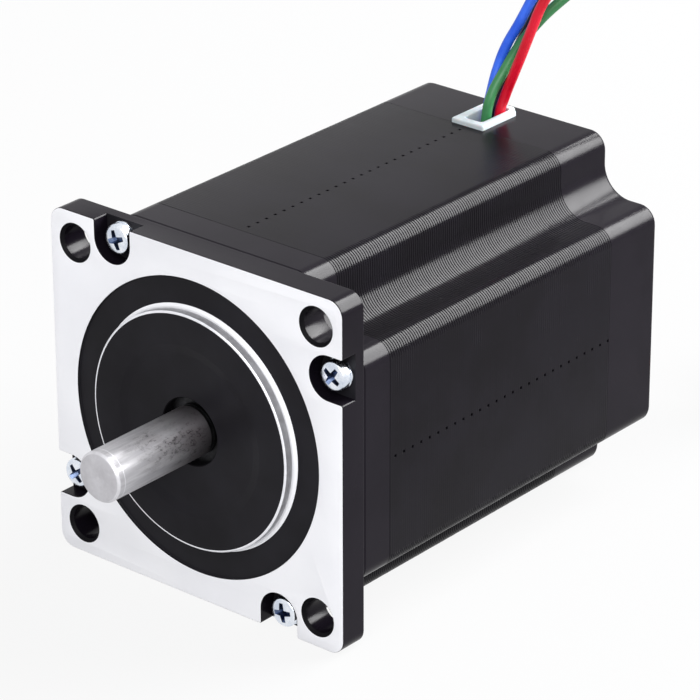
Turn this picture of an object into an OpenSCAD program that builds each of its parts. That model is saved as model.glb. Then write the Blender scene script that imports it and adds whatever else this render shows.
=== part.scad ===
// Two-phase hybrid stepper motor with a square flange, round shaft and four leads.
// Frame: the origin is on the shaft axis at the machined mounting face.
// The shaft points to -Y, the body runs to +Y, +X is to the right and +Z is up.

/* [Frame] */
// Width and height of the square frame
frame_w = 57; // [56:0.5:62]
// Corner radius of the mounting flange
flange_corner_r = 2.5; // [1:0.25:3.5]
// Thickness of the mounting flange
flange_t = 4.8; // [4.2:0.1:5.6]
// Radius of the clearance round each mounting hole, behind the flange
notch_r = 5; // [4.6:0.1:5.2]
// Fillet on the outer edges beside each corner notch
lobe_fillet = 2.8; // [1.5:0.1:3.4]

/* [Length] */
// Length of the front cap, from the mounting face to the laminations
front_cap_len = 10.75; // [10.25:0.25:14]
// Length of the rear cap
rear_cap_len = 11.75; // [11.5:0.25:15]
// Thickness of one lamination
lamination_t = 0.5; // [0.35:0.05:0.65]
// Number of laminations in the stack
lamination_count = 107; // [90:1:130]

/* [Mounting face] */
// Distance of each mounting hole from the edges of the frame
hole_edge = 4.93; // [4.6:0.01:5.1]
// Diameter of the mounting holes
hole_d = 5.3; // [4.5:0.1:5.6]
// Chamfer on the mounting holes at the face
hole_chamfer = 0.45; // [0.1:0.05:0.5]
// Distance of the pilot's rim from the edge of the frame
pilot_edge = 9.45; // [9:0.05:10.5]
// Height of the pilot above the mounting face
pilot_h = 1.6; // [1.2:0.1:2.2]
// Chamfer on the rim of the pilot
pilot_chamfer = 0.25; // [0.1:0.05:0.5]
// Width of the unmachined ring round the pilot
ring_w = 4.9; // [3:0.1:5.1]
// Depth of that ring below the mounting face
ring_depth = 0.4; // [0.2:0.1:0.8]
// Width of the pilot's face round the shallow dish in it
dish_edge = 5.15; // [3:0.05:7]
// Depth of the dish
dish_depth = 0.3; // [0.1:0.05:0.5]
// Diameter of the hole that the shaft comes out of
nose_hole_d = 10.8; // [9.6:0.1:11.4]

/* [Case screws] */
// Thread diameter of the case screws
screw_d = 2.5; // [2.2:0.1:2.6]
// Length of the case screws under the head
screw_len = 70; // [66:0.5:71]
// Distance of each screw from the mounting hole beside it, along the side
screw_gap = 7.57; // [7.2:0.01:8.5]
// Distance of each screw from the edge of the frame
screw_edge = 2.7; // [2.6:0.05:2.9]
// Diameter of the pan head
head_d = 4.7; // [4.3:0.1:5]
// Height of the pan head
head_h = 1.65; // [1.4:0.05:1.9]
// Width across the cross recess in the head
cross_w = 2.6; // [2:0.1:2.8]
// Outer diameter of the split washer
washer_d = 4.9; // [4.5:0.1:5.1]
// Thickness of the split washer
washer_t = 0.6; // [0.4:0.1:0.8]
// Width of the pocket that holds head and washer
pocket_w = 7.1; // [6.6:0.1:7.5]
// Depth of the pocket below the mounting face
pocket_depth = 2.9; // [2.7:0.1:3.1]

/* [Shaft] */
// Diameter of the shaft
shaft_d = 8; // [6.35:0.05:8.4]
// Length of the shaft in front of the mounting face
shaft_out = 21; // [16:0.5:30]
// Chamfer on the shaft's ends
shaft_chamfer = 0.5; // [0.2:0.1:0.8]
// Diameter of the shaft where the rotor is fitted
rotor_seat_d = 10; // [9:0.1:11]
// Width of the relief groove in front of the bearing
relief_w = 0.7; // [0.6:0.1:1]
// Depth of the relief groove
relief_depth = 0.25; // [0.2:0.05:0.4]

/* [Stator] */
// Number of stator poles
pole_count = 8; // [8]
// Teeth on each stator pole
pole_teeth = 6; // [5:1:6]
// Thickness of the stator's yoke behind the winding slots
yoke_t = 3.3; // [3.1:0.1:3.6]
// Length of a pole from the yoke to its tooth tips
pole_len = 6.1; // [5.8:0.1:7]
// Depth of the teeth
tooth_depth = 0.9; // [0.6:0.1:1]
// Thickness of the pole shoe behind the teeth
shoe_t = 0.9; // [0.7:0.1:1]
// Width of a pole's neck
neck_w = 5.8; // [5:0.1:6.2]

/* [Windings] */
// Thickness of the insulator's plate on the end of the stack
insulator_t = 0.8; // [0.6:0.1:1]
// Thickness of the insulator's walls and rims
insulator_wall = 0.8; // [0.6:0.1:0.9]
// Thickness of the insulator's liner beside a neck
liner_t = 0.45; // [0.3:0.05:0.5]
// Length of the liner inside the slots
liner_len = 20; // [10:1:22]
// Thickness of a winding beside its pole and over its ends
winding_t = 3.2; // [2.6:0.1:3.4]

/* [Rotor] */
// Number of teeth on the rotor
rotor_teeth = 50; // [50]
// Air gap between rotor and stator
air_gap = 0.2; // [0.15:0.05:0.3]
// Gap between each end of the rotor and the end of the stack
rotor_inset = 0.5; // [0.3:0.1:1]
// Gap between the two toothed cups of a pair
cup_gap = 2; // [1.6:0.1:2.4]
// Thickness of each magnet
magnet_t = 3; // [2.6:0.1:3.4]
// Thickness of a cup's wall between its magnet and its teeth
cup_wall = 4; // [2:0.5:6]
// Thickness of the spacer between the two pairs of cups
rotor_spacer_t = 2.1; // [1.6:0.1:3]

/* [Bearings] */
// Outer diameter of both bearings
bearing_d = 22; // [21.6:0.1:22.4]
// Width of both bearings
bearing_w = 7; // [6.8:0.1:7.2]
// Diameter of the balls
ball_d = 3.96; // [3.8:0.02:4]
// Number of balls in each bearing
ball_count = 7; // [6:1:7]
// Thickness of the wave washer behind the rear bearing
wave_washer_t = 0.6; // [0.4:0.1:0.8]
// Thickness of the lips that hold the bearings in
lip_t = 2; // [1.8:0.1:2.2]

/* [Grommet] */
// Width of the grommet
grommet_w = 6.4; // [6.2:0.1:7.2]
// Length of the grommet along the motor
grommet_len = 10; // [9.8:0.1:10.4]
// Thickness of the grommet's side walls
grommet_wall = 1.5; // [1.3:0.1:1.5]
// Height of the grommet above the cap
grommet_proud = 0.7; // [0.4:0.1:1]
// Chamfer on the grommet's rear corners
grommet_chamfer = 1.5; // [1:0.1:2]

/* [Leads] */
// Diameter of a lead over its insulation
lead_d = 1.65; // [1.4:0.05:1.7]
// Diameter of the bare tinned end
tip_d = 0.76; // [0.5:0.02:1]
// Length of the bare tinned end
tip_len = 6; // [4:0.5:6]
// Radius of the leads' coil at its outer turn
coil_r = 12.6; // [12.6:0.1:13]
// Distance from one turn of the coil to the next
coil_pitch = 2.15; // [2.1:0.01:2.2]
// Thickness of the tie round the coil
tie_t = 0.6; // [0.4:0.1:0.7]
// Width of the tie
tie_w = 2.5; // [2:0.1:3]

/* [Hidden] */
$fn = 96;

// How far a cut runs past the face it opens
overrun = 1;
// Radial clearance of parts that are pushed together by hand
slip = 0.02;
// Radial clearance of a screw in a drilled hole
drill_clearance = 0.2;
// Clearance between pieces that only lie near each other
air = 0.1;

half_w = frame_w / 2;
hole_at = half_w - hole_edge;
hole_mouth_r = hole_d / 2 + hole_chamfer;
lobe_half = hole_at - notch_r;
stack_len = lamination_t * lamination_count;
stack_start = front_cap_len;
stack_end = stack_start + stack_len;
body_len = stack_end + rear_cap_len;
screw_up = half_w - screw_edge;
screw_off = hole_at - screw_gap;

// Circles that follow the frame
pilot_d = frame_w - 2 * pilot_edge;
ring_d = pilot_d + 2 * ring_w;
dish_d = pilot_d - 2 * dish_edge;
slot_d = frame_w - 2 * yoke_t;
bore_d = slot_d - 2 * pole_len;

// Seam between flange and cap body
seam_w = 0.35;
seam_depth = 0.15;

// Insides of the caps
cavity_r = slot_d / 2 + 0.35 * insulator_wall;
end_turn_len = insulator_t + air + winding_t;
cavity_clearance = 0.45;
front_cavity_y = stack_start - end_turn_len - cavity_clearance;
rear_cavity_len = 8.75;
rear_cavity_y = stack_end + rear_cavity_len;
bearing_wall = 2.5;
bearing_boss_r = bearing_d / 2 + bearing_wall;

// Bearings along the axis
front_bearing_y = lip_t - pilot_h;
rear_seat_y = body_len - lip_t;
rear_bearing_y = rear_seat_y - wave_washer_t - bearing_w;
front_boss_end = front_bearing_y + bearing_w + slip;

// Rings, balls and cage of a bearing
ball_r = ball_d / 2;
race_r = (shaft_d + bearing_d) / 4;
groove_clearance = 0.1;
groove_r = ball_r + groove_clearance;
land_share = 0.73;
inner_land_r = race_r - land_share * ball_r;
outer_land_r = race_r + (land_share + 0.03) * ball_r;
cage_play = 0.5;
cage_rim = 0.45;
cage_half = groove_r + cage_rim;
shield_t = 0.3;
shield_inset = 0.15;
shield_gap = 0.2;

// Rotor along the axis
rotor_start = stack_start + rotor_inset;
rotor_end = stack_end - rotor_inset;
cup_len = (rotor_end - rotor_start - rotor_spacer_t - 2 * cup_gap) / 4;
rotor_r = bore_d / 2 - air_gap;
magnet_d = 2 * (rotor_r - tooth_depth - cup_wall);
magnet_recess = (magnet_t - cup_gap) / 2;
pair_len = 2 * cup_len + cup_gap;
second_pair_y = rotor_start + pair_len + rotor_spacer_t;
tooth_step = 360 / rotor_teeth;
sleeve_wall = 2;
shaft_end_gap = 1.5;
relief_back = 0.9;

// Poles
shoe_r = bore_d / 2 + tooth_depth + shoe_t;
shoe_rise = 0.5;
shoe_edge = (pole_teeth / 2 - 1 / 4) * tooth_step;
winding_top = sqrt(pow(slot_d / 2, 2) - pow(neck_w / 2 + liner_t + air + winding_t, 2)) - 2 * air;
rim_r = shoe_r + shoe_rise - 3 * air;
winding_base = rim_r + 3 * air;
winding_h = winding_top - winding_base;
outer_rim_r = slot_d / 2 + air;

// Terminal board behind the windings
board_t = 1.2;
board_gap = 1.25;
board_y = stack_end + end_turn_len + board_gap;
board_r = slot_d / 2 - 3 * air;
board_bore_r = bearing_boss_r + 7 * air;
board_bridge = 1.8;
board_flat_z = board_bore_r + board_bridge;
board_notch_w = 10;
post_r = 0.9;
pin_r = 0.4;
pin_root = 1.4;

// Leads: the free stretches are points in a frame turned about the vertical through
// lead_origin_y, [along the lean, across it, height], chosen by hand
lead_turn = 40;
lead_origin_y = 70;
red_route = [
    [2.4, -1.8, 17.2], [2.4, -1.8, 18.9], [2.2, -0.5, 21.8], [1.6, 0.6, 25], [1.6, 0.6, 28.6],
    [2.5, 0.1, 32], [3.8, -0.7, 36], [5, -1.1, 39.5], [6.4, -1.2, 43.5], [8.2, -1.2, 48],
    [11.48, -1.2, 52.6], [17.31, 0.14, 56], [26.07, 2.7, 57.6], [34.96, 5.42, 55.8],
    [42.07, 7.39, 50.5], [45.8, 8.25, 41], [45.8, 8.25, -16.4], [45.8, 9.67, -21.7],
    [45.8, 13.55, -25.6], [45.8, 18.8, -27], [45.8, 20.1, -27]
];
green_route = [
    [0.9, -0.5, 17.2], [0.9, -0.5, 18.9], [0.1, -0.9, 21.8], [-0.5, -0.9, 25], [-0.5, -0.9, 28.6],
    [0.2, -0.5, 32], [2.4, 0.9, 36], [4.3, 1.6, 39.2], [6.5, 1.9, 42.2], [10.2, 2, 46.2],
    [15.37, 2.62, 50], [22.65, 4.23, 52.6], [30.87, 6.44, 53], [38.17, 8.38, 50.4],
    [43.34, 9.71, 45], [45.8, 10.25, 36], [45.8, 10.25, -16.4], [45.8, 11.4, -20.7],
    [45.8, 14.55, -23.85], [45.8, 18.8, -25], [45.8, 20.1, -25]
];
blue_route = [
    [-2.2, 2.1, 17.2], [-2.2, 2.1, 18.9], [-1.7, 1.3, 21.8], [-0.35, 0.95, 25], [-0.35, 0.95, 28.6],
    [0.3, 1.4, 32], [1.4, 2.5, 36], [2.6, 2.8, 39.2], [4.6, 2.8, 43], [7, 2.8, 47.8],
    [10.2, 2.7, 53], [16.66, 3.96, 57.8], [26.07, 6.7, 60], [35.63, 9.63, 58], [42.84, 11.58, 51.5],
    [45.8, 12.25, 41], [45.8, 12.25, -16.4], [45.8, 13.13, -19.7], [45.8, 15.55, -22.1],
    [45.8, 18.8, -23], [45.8, 20.1, -23]
];
black_route = [
    [-0.6, 0.8, 17.2], [-0.6, 0.8, 18.9], [0.4, 1.5, 21.8], [0.8, 2.3, 25], [0.8, 2.3, 28.6],
    [1.8, 2.75, 32], [3.3, 3, 36], [4.9, 3.7, 39.5], [6.6, 4.1, 43], [8.9, 4.3, 47.8],
    [12.47, 4.66, 52.6], [18.63, 6.27, 56], [26.75, 8.77, 57.2], [34.96, 11.37, 55.4],
    [42.07, 13.39, 50], [45.8, 14.25, 40], [45.8, 14.25, -16.4], [45.8, 14.87, -18.7],
    [45.8, 16.55, -20.4], [45.8, 18.8, -21], [45.8, 20.1, -21]
];

// Coil of the leads: one flat spiral for each lead, one above the other
lead_sides = 8;
coil_sides = 6;
rings_per_turn = 24;
coil_turns = 2.5;
curl_r = 4.5;
curl_steps = 6;

// One axis of a vector, its direction and points on a circle
function unit(v) = v / norm(v);
function polar(r, a) = [r * sin(a), r * cos(a)];
function last(list) = list[len(list) - 1];

// A profile in the X-Z plane, extruded from y to y + len
module slab(y, len) {
    translate([0, y + len, 0])
        rotate([90, 0, 0])
            linear_extrude(height = len)
                children();
}

// A profile of [radius, y] turned round the motor's axis
module turned(profile) {
    rotate([-90, 0, 0])
        rotate_extrude()
            polygon(profile);
}

// A tube of inner radius r0 and outer radius r1
module pipe(y, len, r0, r1) {
    turned([[r0, y], [r1, y], [r1, y + len], [r0, y + len]]);
}

module rounded_rect(w, h, r) {
    square([w - 2 * r, h], center = true);
    square([w, h - 2 * r], center = true);
    for (x = [-1, 1])
        for (y = [-1, 1])
            translate([x * (w / 2 - r), y * (h / 2 - r)])
                circle(r = r);
}

// Copies at the four mounting holes
module at_holes() {
    for (x = [-1, 1])
        for (z = [-1, 1])
            translate([x * hole_at, z * hole_at])
                children();
}

// Copies at the four case screws, each a quarter turn from the last
module at_screws() {
    for (i = [0 : 3])
        rotate(-90 * i)
            translate([-screw_off, screw_up])
                children();
}

// Outline shared by both caps and the laminations: a square with four round notches
module body_section(cut = 0) {
    wide = frame_w - 2 * cut;
    narrow = 2 * (lobe_half - cut);
    rounded_rect(wide, narrow, lobe_fillet);
    rounded_rect(narrow, wide, lobe_fillet);
    difference() {
        square(2 * hole_at, center = true);
        at_holes()
            circle(r = notch_r + cut);
    }
}

module screw_holes(r) {
    at_screws()
        circle(r = r);
}

// Pocket for a screw head, open to the edge of the flange
module pocket_outline() {
    circle(d = pocket_w);
    translate([-pocket_w / 2, 0])
        square([pocket_w, screw_edge + overrun]);
}

// What the seam takes away round the cap's body
module seam_outline() {
    difference() {
        square(frame_w + 2 * overrun, center = true);
        body_section(seam_depth);
    }
}

module front_cap() color([0.1, 0.1, 0.11]) {
    difference() {
        union() {
            slab(0, flange_t)
                rounded_rect(frame_w, frame_w, flange_corner_r);
            slab(0, front_cap_len)
                body_section();
            turned([
                [0, -pilot_h], [pilot_d / 2 - pilot_chamfer, -pilot_h],
                [pilot_d / 2, pilot_chamfer - pilot_h], [pilot_d / 2, flange_t], [0, flange_t]
            ]);
        }
        pipe(-overrun, overrun + ring_depth, pilot_d / 2, ring_d / 2);
        turned([
            [0, -pilot_h - overrun], [dish_d / 2 + overrun, -pilot_h - overrun],
            [dish_d / 2, -pilot_h], [dish_d / 2 - 2 * dish_depth, dish_depth - pilot_h],
            [0, dish_depth - pilot_h]
        ]);
        slab(-pilot_h - overrun, pilot_h + overrun + lip_t)
            circle(d = nose_hole_d);
        slab(front_bearing_y, bearing_w + cavity_clearance + overrun)
            circle(r = bearing_d / 2 + slip);
        turned([
            [bearing_boss_r, front_cavity_y], [cavity_r, front_cavity_y],
            [cavity_r, front_cap_len + overrun], [0, front_cap_len + overrun],
            [0, front_boss_end], [bearing_boss_r, front_boss_end]
        ]);
        slab(flange_t, seam_w)
            seam_outline();
        slab(-overrun, flange_t + 2 * overrun)
            at_holes()
                circle(d = hole_d);
        rotate([-90, 0, 0])
            at_holes()
                translate([0, 0, -overrun])
                    cylinder(h = overrun + hole_chamfer, r1 = hole_mouth_r + overrun, r2 = hole_d / 2);
        slab(-overrun, pocket_depth + overrun)
            at_screws()
                pocket_outline();
        slab(0, front_cap_len + overrun)
            screw_holes(screw_d / 2 + drill_clearance);
    }
}

// Outline of the grommet seen from above, its front edge on y = 0
module grommet_outline(grow = 0) {
    w = grommet_w / 2 + grow;
    back = grommet_len + grow;
    polygon([
        [-w, 0], [w, 0], [w, back - grommet_chamfer], [w - grommet_chamfer, back],
        [grommet_chamfer - w, back], [-w, back - grommet_chamfer]
    ]);
}

// Depth of the grommet below the top of the cap, and of the slot that holds it
grommet_depth = half_w - cavity_r;
slot_depth = grommet_depth + insulator_wall / 2;

module rear_cap() color([0.1, 0.1, 0.11]) {
    difference() {
        slab(stack_end, rear_cap_len)
            body_section();
        turned([
            [bearing_boss_r, rear_cavity_y], [cavity_r, rear_cavity_y],
            [cavity_r, stack_end - overrun], [0, stack_end - overrun],
            [0, rear_bearing_y], [bearing_boss_r, rear_bearing_y]
        ]);
        slab(rear_bearing_y - overrun, rear_seat_y - rear_bearing_y + overrun)
            circle(r = bearing_d / 2 + slip);
        slab(rear_seat_y - overrun, lip_t + 2 * overrun)
            circle(d = nose_hole_d);
        pipe(body_len - dish_depth, dish_depth + overrun, bearing_boss_r - bearing_wall, dish_d / 2);
        slab(stack_end - overrun, rear_cap_len + 2 * overrun)
            screw_holes(screw_d / 2 + slip);
        translate([0, stack_end - slip, half_w - slot_depth])
            linear_extrude(height = slot_depth + overrun)
                grommet_outline(slip);
    }
}

// Half the outline of a toothed row: the corners of tooth i, whose tip is at radius tip
function tooth(i, count, tip, root) = let(
        c = (i - (count - 1) / 2) * tooth_step,
        h = tooth_step / 4
    ) [polar(root, c - h), polar(tip, c - h), polar(tip, c + h), polar(root, c + h)];

module pole_outline() {
    tip = bore_d / 2;
    root = tip + tooth_depth;
    teeth = [for (i = [0 : pole_teeth - 1]) each tooth(i, pole_teeth, tip, root)];
    polygon(concat(
        [polar(shoe_r, -shoe_edge)],
        [for (i = [1 : len(teeth) - 2]) teeth[i]],
        [
            polar(shoe_r, shoe_edge), [neck_w / 2, shoe_r + shoe_rise],
            [neck_w / 2, slot_d / 2 + air], [-neck_w / 2, slot_d / 2 + air],
            [-neck_w / 2, shoe_r + shoe_rise]
        ]
    ));
}

module at_poles() {
    for (i = [0 : pole_count - 1])
        rotate(i * 360 / pole_count)
            children();
}

module stator_stack() color([0.16, 0.16, 0.17]) {
    slab(stack_start, stack_len) {
        difference() {
            body_section();
            circle(d = slot_d);
            screw_holes(screw_d / 2 + drill_clearance);
        }
        at_poles()
            pole_outline();
    }
}

// Insulator standing on a stack face at y = 0 and pointing to +Y
module insulator() {
    spoke_w = neck_w + 2 * (liner_t + air);
    pipe(0, end_turn_len, rim_r - insulator_wall, rim_r);
    pipe(0, insulator_t, outer_rim_r - insulator_wall, outer_rim_r);
    slab(0, insulator_t)
        at_poles()
            translate([-spoke_w / 2, rim_r - insulator_wall / 2])
                square([spoke_w, outer_rim_r - rim_r]);
    slab(-liner_len, liner_len + insulator_t)
        at_poles()
            for (side = [-1, 1])
                translate([side * (neck_w / 2 + air / 2 + liner_t / 2), (winding_base + winding_top) / 2])
                    square([liner_t, winding_h], center = true);
}

module front_insulator() color([0.85, 0.84, 0.8]) {
    translate([0, stack_start, 0])
        mirror([0, 1, 0])
            insulator();
}

module rear_insulator() color([0.85, 0.84, 0.8]) {
    translate([0, stack_end, 0]) {
        insulator();
        slab(0, board_y - stack_end)
            for (i = [0 : 3])
                rotate(i * 90 + 180 / pole_count)
                    translate([0, board_r - post_r])
                        circle(r = post_r);
    }
}

// Winding number n, round the neck of its pole
module winding(n) color([0.72, 0.36, 0.16]) {
    w = neck_w + 2 * (liner_t + air);
    len = stack_len + 2 * (insulator_t + air);
    rotate([0, (n - 1) * 360 / pole_count, 0])
        translate([0, stack_start + stack_len / 2, winding_base])
            linear_extrude(height = winding_h)
                difference() {
                    rounded_rect(w + 2 * winding_t, len + 2 * winding_t, winding_t);
                    square([w, len], center = true);
                }
}

module shaft() color([0.75, 0.75, 0.77]) {
    r = shaft_d / 2;
    relief_y = -relief_back;
    turned([
        [0, -shaft_out], [r - shaft_chamfer, -shaft_out], [r, shaft_chamfer - shaft_out],
        [r, relief_y], [r - relief_depth, relief_y], [r - relief_depth, relief_y + relief_w],
        [r, relief_y + relief_w], [r, rotor_start], [rotor_seat_d / 2, rotor_start],
        [rotor_seat_d / 2, rotor_end], [r, rotor_end],
        [r, body_len - shaft_end_gap - shaft_chamfer],
        [r - shaft_chamfer, body_len - shaft_end_gap], [0, body_len - shaft_end_gap]
    ]);
}

module front_sleeve() color([0.7, 0.7, 0.72]) {
    start = front_bearing_y + bearing_w;
    pipe(start, rotor_start - start, shaft_d / 2 + slip, shaft_d / 2 + sleeve_wall);
}

module rear_sleeve() color([0.7, 0.7, 0.72]) {
    pipe(rotor_end, rear_bearing_y - rotor_end, shaft_d / 2 + slip, shaft_d / 2 + sleeve_wall);
}

// Toothed cup from y = 0, with the magnet's recess in its far face; turn shifts its teeth
module rotor_cup(turn) color([0.45, 0.45, 0.47]) {
    difference() {
        slab(0, cup_len)
            rotate(turn)
                polygon([
                    for (i = [0 : rotor_teeth - 1])
                        each tooth(i, rotor_teeth, rotor_r, rotor_r - tooth_depth)
                ]);
        slab(-overrun, cup_len + 2 * overrun)
            circle(r = rotor_seat_d / 2 + slip);
        slab(cup_len - magnet_recess, magnet_recess + overrun)
            circle(r = magnet_d / 2 + slip);
    }
}

// Front and rear cup of the pair that starts at y, half a tooth apart
module front_cup(y, turn) {
    translate([0, y, 0])
        rotor_cup(turn);
}

module rear_cup(y, turn) {
    translate([0, y + pair_len, 0])
        mirror([0, 1, 0])
            rotor_cup(turn);
}

module rotor_magnet(y) color([0.55, 0.56, 0.6]) {
    pipe(y + cup_len - magnet_recess, magnet_t, rotor_seat_d / 2 + slip, magnet_d / 2);
}

module rotor_spacer() color([0.8, 0.7, 0.45]) {
    pipe(rotor_start + pair_len, rotor_spacer_t, rotor_seat_d / 2 + slip, magnet_d / 2);
}

module bearing_outer_ring(y) color([0.78, 0.78, 0.8]) {
    difference() {
        pipe(y, bearing_w, outer_land_r, bearing_d / 2);
        groove(y);
    }
}

module bearing_inner_ring(y) color([0.78, 0.78, 0.8]) {
    difference() {
        pipe(y, bearing_w, shaft_d / 2 + slip / 2, inner_land_r);
        groove(y);
    }
}

// Space that the balls run in
module groove(y) {
    translate([0, y + bearing_w / 2, 0])
        rotate([-90, 0, 0])
            rotate_extrude()
                translate([race_r, 0])
                    circle(r = groove_r);
}

module at_balls(y) {
    for (i = [0 : ball_count - 1])
        translate([0, y + bearing_w / 2, 0])
            rotate([0, i * 360 / ball_count, 0])
                translate([race_r, 0, 0])
                    children();
}

module bearing_balls(y) color([0.85, 0.85, 0.87]) {
    at_balls(y)
        sphere(r = ball_r);
}

module bearing_cage(y) color([0.75, 0.6, 0.3]) {
    difference() {
        pipe(
            y + bearing_w / 2 - cage_half, 2 * cage_half,
            inner_land_r + cage_play, outer_land_r - cage_play
        );
        at_balls(y)
            rotate([0, 90, 0])
                cylinder(h = 2 * groove_r, r = groove_r, center = true);
    }
}

module bearing_shields(y) color([0.7, 0.7, 0.72]) {
    for (start = [shield_inset, bearing_w - shield_inset - shield_t])
        pipe(y + start, shield_t, inner_land_r + shield_gap, outer_land_r - slip / 2);
}

module wave_washer() color([0.6, 0.6, 0.62]) {
    pipe(rear_seat_y - wave_washer_t, wave_washer_t, outer_land_r, bearing_d / 2 - air);
}

// Place of the screw heads: their underside rests on the washer
head_y = pocket_depth - washer_t;
crown_share = 0.55;

module at_screw_axes() {
    for (i = [0 : 3])
        rotate([0, -90 * i, 0])
            translate([-screw_off, 0, screw_up])
                children();
}

module case_screws() color([0.8, 0.82, 0.86]) {
    r = head_d / 2;
    crown = crown_share * head_h;
    cross_t = cross_w / 4;
    cross_depth = head_h / 2;
    at_screw_axes()
        difference() {
            union() {
                intersection() {
                    turned([
                        [0, head_y - head_h], [r - crown, head_y - head_h], [r, head_y - head_h + crown],
                        [r, head_y], [0, head_y]
                    ]);
                    translate([0, head_y - head_h + crown_sphere_r, 0])
                        sphere(r = crown_sphere_r);
                }
                turned([
                    [0, head_y - slip], [screw_d / 2 - slip, head_y - slip],
                    [screw_d / 2 - slip, head_y + screw_len], [0, head_y + screw_len]
                ]);
            }
            for (turn = [0, 90])
                rotate([0, turn + 30, 0])
                    translate([-cross_w / 2, head_y - head_h - overrun, -cross_t / 2])
                        cube([cross_w, overrun + cross_depth, cross_t]);
        }
}

// Radius of the domed top of a screw head
crown_sphere_r = 1.6 * head_d / 2;

module lock_washers() color([0.7, 0.72, 0.75]) {
    split_w = washer_t / 2;
    at_screw_axes()
        difference() {
            pipe(head_y, washer_t, screw_d / 2 + air, washer_d / 2);
            rotate([0, 45, 0])
                translate([0, head_y - overrun, -split_w / 2])
                    cube([washer_d, washer_t + 2 * overrun, split_w]);
        }
}

module grommet() color([0.8, 0.83, 0.84]) {
    translate([0, stack_end, half_w - grommet_depth])
        linear_extrude(height = grommet_depth + grommet_proud)
            difference() {
                translate([0, slip])
                    grommet_outline(-slip);
                translate([grommet_wall - grommet_w / 2, grommet_wall])
                    square([grommet_w - 2 * grommet_wall, grommet_len - 1.8 * grommet_wall]);
            }
}

module terminal_board() color([0.1, 0.35, 0.2]) {
    slab(board_y, board_t)
        difference() {
            circle(r = board_r);
            circle(r = board_bore_r);
            translate([-board_notch_w / 2, board_flat_z])
                square([board_notch_w, board_r]);
        }
}

// Frame of the leads' points
module lead_frame() {
    translate([0, lead_origin_y, 0])
        rotate([0, 0, lead_turn])
            children();
}

module terminal_pins() color([0.8, 0.65, 0.3]) {
    lead_frame()
        for (route = [red_route, green_route, blue_route, black_route])
            translate([route[0][0], route[0][1], board_flat_z - pin_root])
                cylinder(h = route[0][2] - board_flat_z + pin_root, r = pin_r);
}

// Directions across a tube at each of its points, carried along without twist
function carried(tangents, i, side) = i == len(tangents) ? [] : let(
        next = unit(side - (side * tangents[i]) * tangents[i])
    ) concat([next], carried(tangents, i + 1, next));

// One unbroken tube along a list of points
module tube(path, d, sides) {
    n = len(path);
    tangents = [for (i = [0 : n - 1]) unit(path[min(i + 1, n - 1)] - path[max(i - 1, 0)])];
    across = carried(tangents, 0, abs(tangents[0][2]) > 0.5 ? [1, 0, 0] : [0, 0, 1]);
    points = [
        for (i = [0 : n - 1])
            for (k = [0 : sides - 1])
                path[i] + d / 2 * (
                    cos(360 * k / sides) * across[i]
                    + sin(360 * k / sides) * cross(tangents[i], across[i])
                )
    ];
    walls = [
        for (i = [0 : n - 2])
            for (k = [0 : sides - 1])
                let(a = i * sides + k, b = i * sides + (k + 1) % sides)
                    each [[a, a + sides, b], [b, a + sides, b + sides]]
    ];
    start = [for (k = [1 : sides - 2]) [0, k, k + 1]];
    end = [for (k = [1 : sides - 2]) let(z = (n - 1) * sides) [z, z + k + 1, z + k]];
    polyhedron(points = points, faces = concat(walls, start, end));
}

// Centre of the coil, from where the free stretches end and the first turn starts
function coil_centre(route) = let(p = last(route)) [p[0] + coil_r, p[1] + lead_d];

// Points of one lead's coil: straight in, a spiral inwards, a curl and straight out
function coil_path(route) = let(
        c = coil_centre(route),
        z = last(route)[2],
        steps = coil_turns * rings_per_turn,
        inner = coil_r - coil_pitch * coil_turns,
        curl = [c[0] + inner - curl_r, c[1]]
    ) concat(
        [last(route)],
        [
            for (i = [0 : steps])
                let(a = 180 - 360 * i / rings_per_turn, r = coil_r - coil_pitch * i / rings_per_turn)
                    [c[0] + r * cos(a), c[1] + r * sin(a), z]
        ],
        [
            for (i = [1 : curl_steps])
                let(a = -90 * i / curl_steps)
                    [curl[0] + curl_r * cos(a), curl[1] + curl_r * sin(a), z]
        ],
        [[curl[0] - lead_d, curl[1] - curl_r, z]]
    );

// Least distance between the surfaces of turns that lie beside each other
function least_gap(path) = min([
    for (i = [0 : len(path) - 1])
        for (j = [i + rings_per_turn / 2 : 1 : len(path) - 1])
            norm(path[i] - path[j])
]) - lead_d;
echo(coil_least_gap_mm = least_gap(coil_path(red_route)));

module lead_run(route) {
    lead_frame()
        tube(route, lead_d, lead_sides);
}

module lead_coil(route) {
    lead_frame()
        tube(coil_path(route), lead_d, coil_sides);
}

module lead_tip(route) color([0.8, 0.8, 0.8]) {
    p = last(coil_path(route));
    lead_frame()
        translate(p)
            rotate([0, -90, 0])
                cylinder(h = tip_len, d = tip_d);
}

// Tie round the coil, where three turns of each lead lie side by side
module coil_tie() color([0.92, 0.92, 0.9]) {
    c = coil_centre(red_route);
    low = last(red_route)[2] - lead_d / 2;
    high = last(black_route)[2] + lead_d / 2;
    near = coil_r - coil_pitch * (coil_turns - 1 / 4) - lead_d / 2 - 3 * air;
    far = coil_r + lead_d / 2;
    wide = far - near;
    tall = high - low + air;
    lead_frame()
        translate([c[0] - tie_w / 2, c[1] + near, low - air / 2])
            rotate([90, 0, 90])
                linear_extrude(height = tie_w) {
                    difference() {
                        translate([wide / 2, tall / 2])
                            rounded_rect(wide + 2 * tie_t, tall + 2 * tie_t, 2 * tie_t);
                        square([wide, tall]);
                    }
                    translate([wide, tall / 3])
                        square([4 * tie_t, tall / 3]);
                }
}

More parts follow.
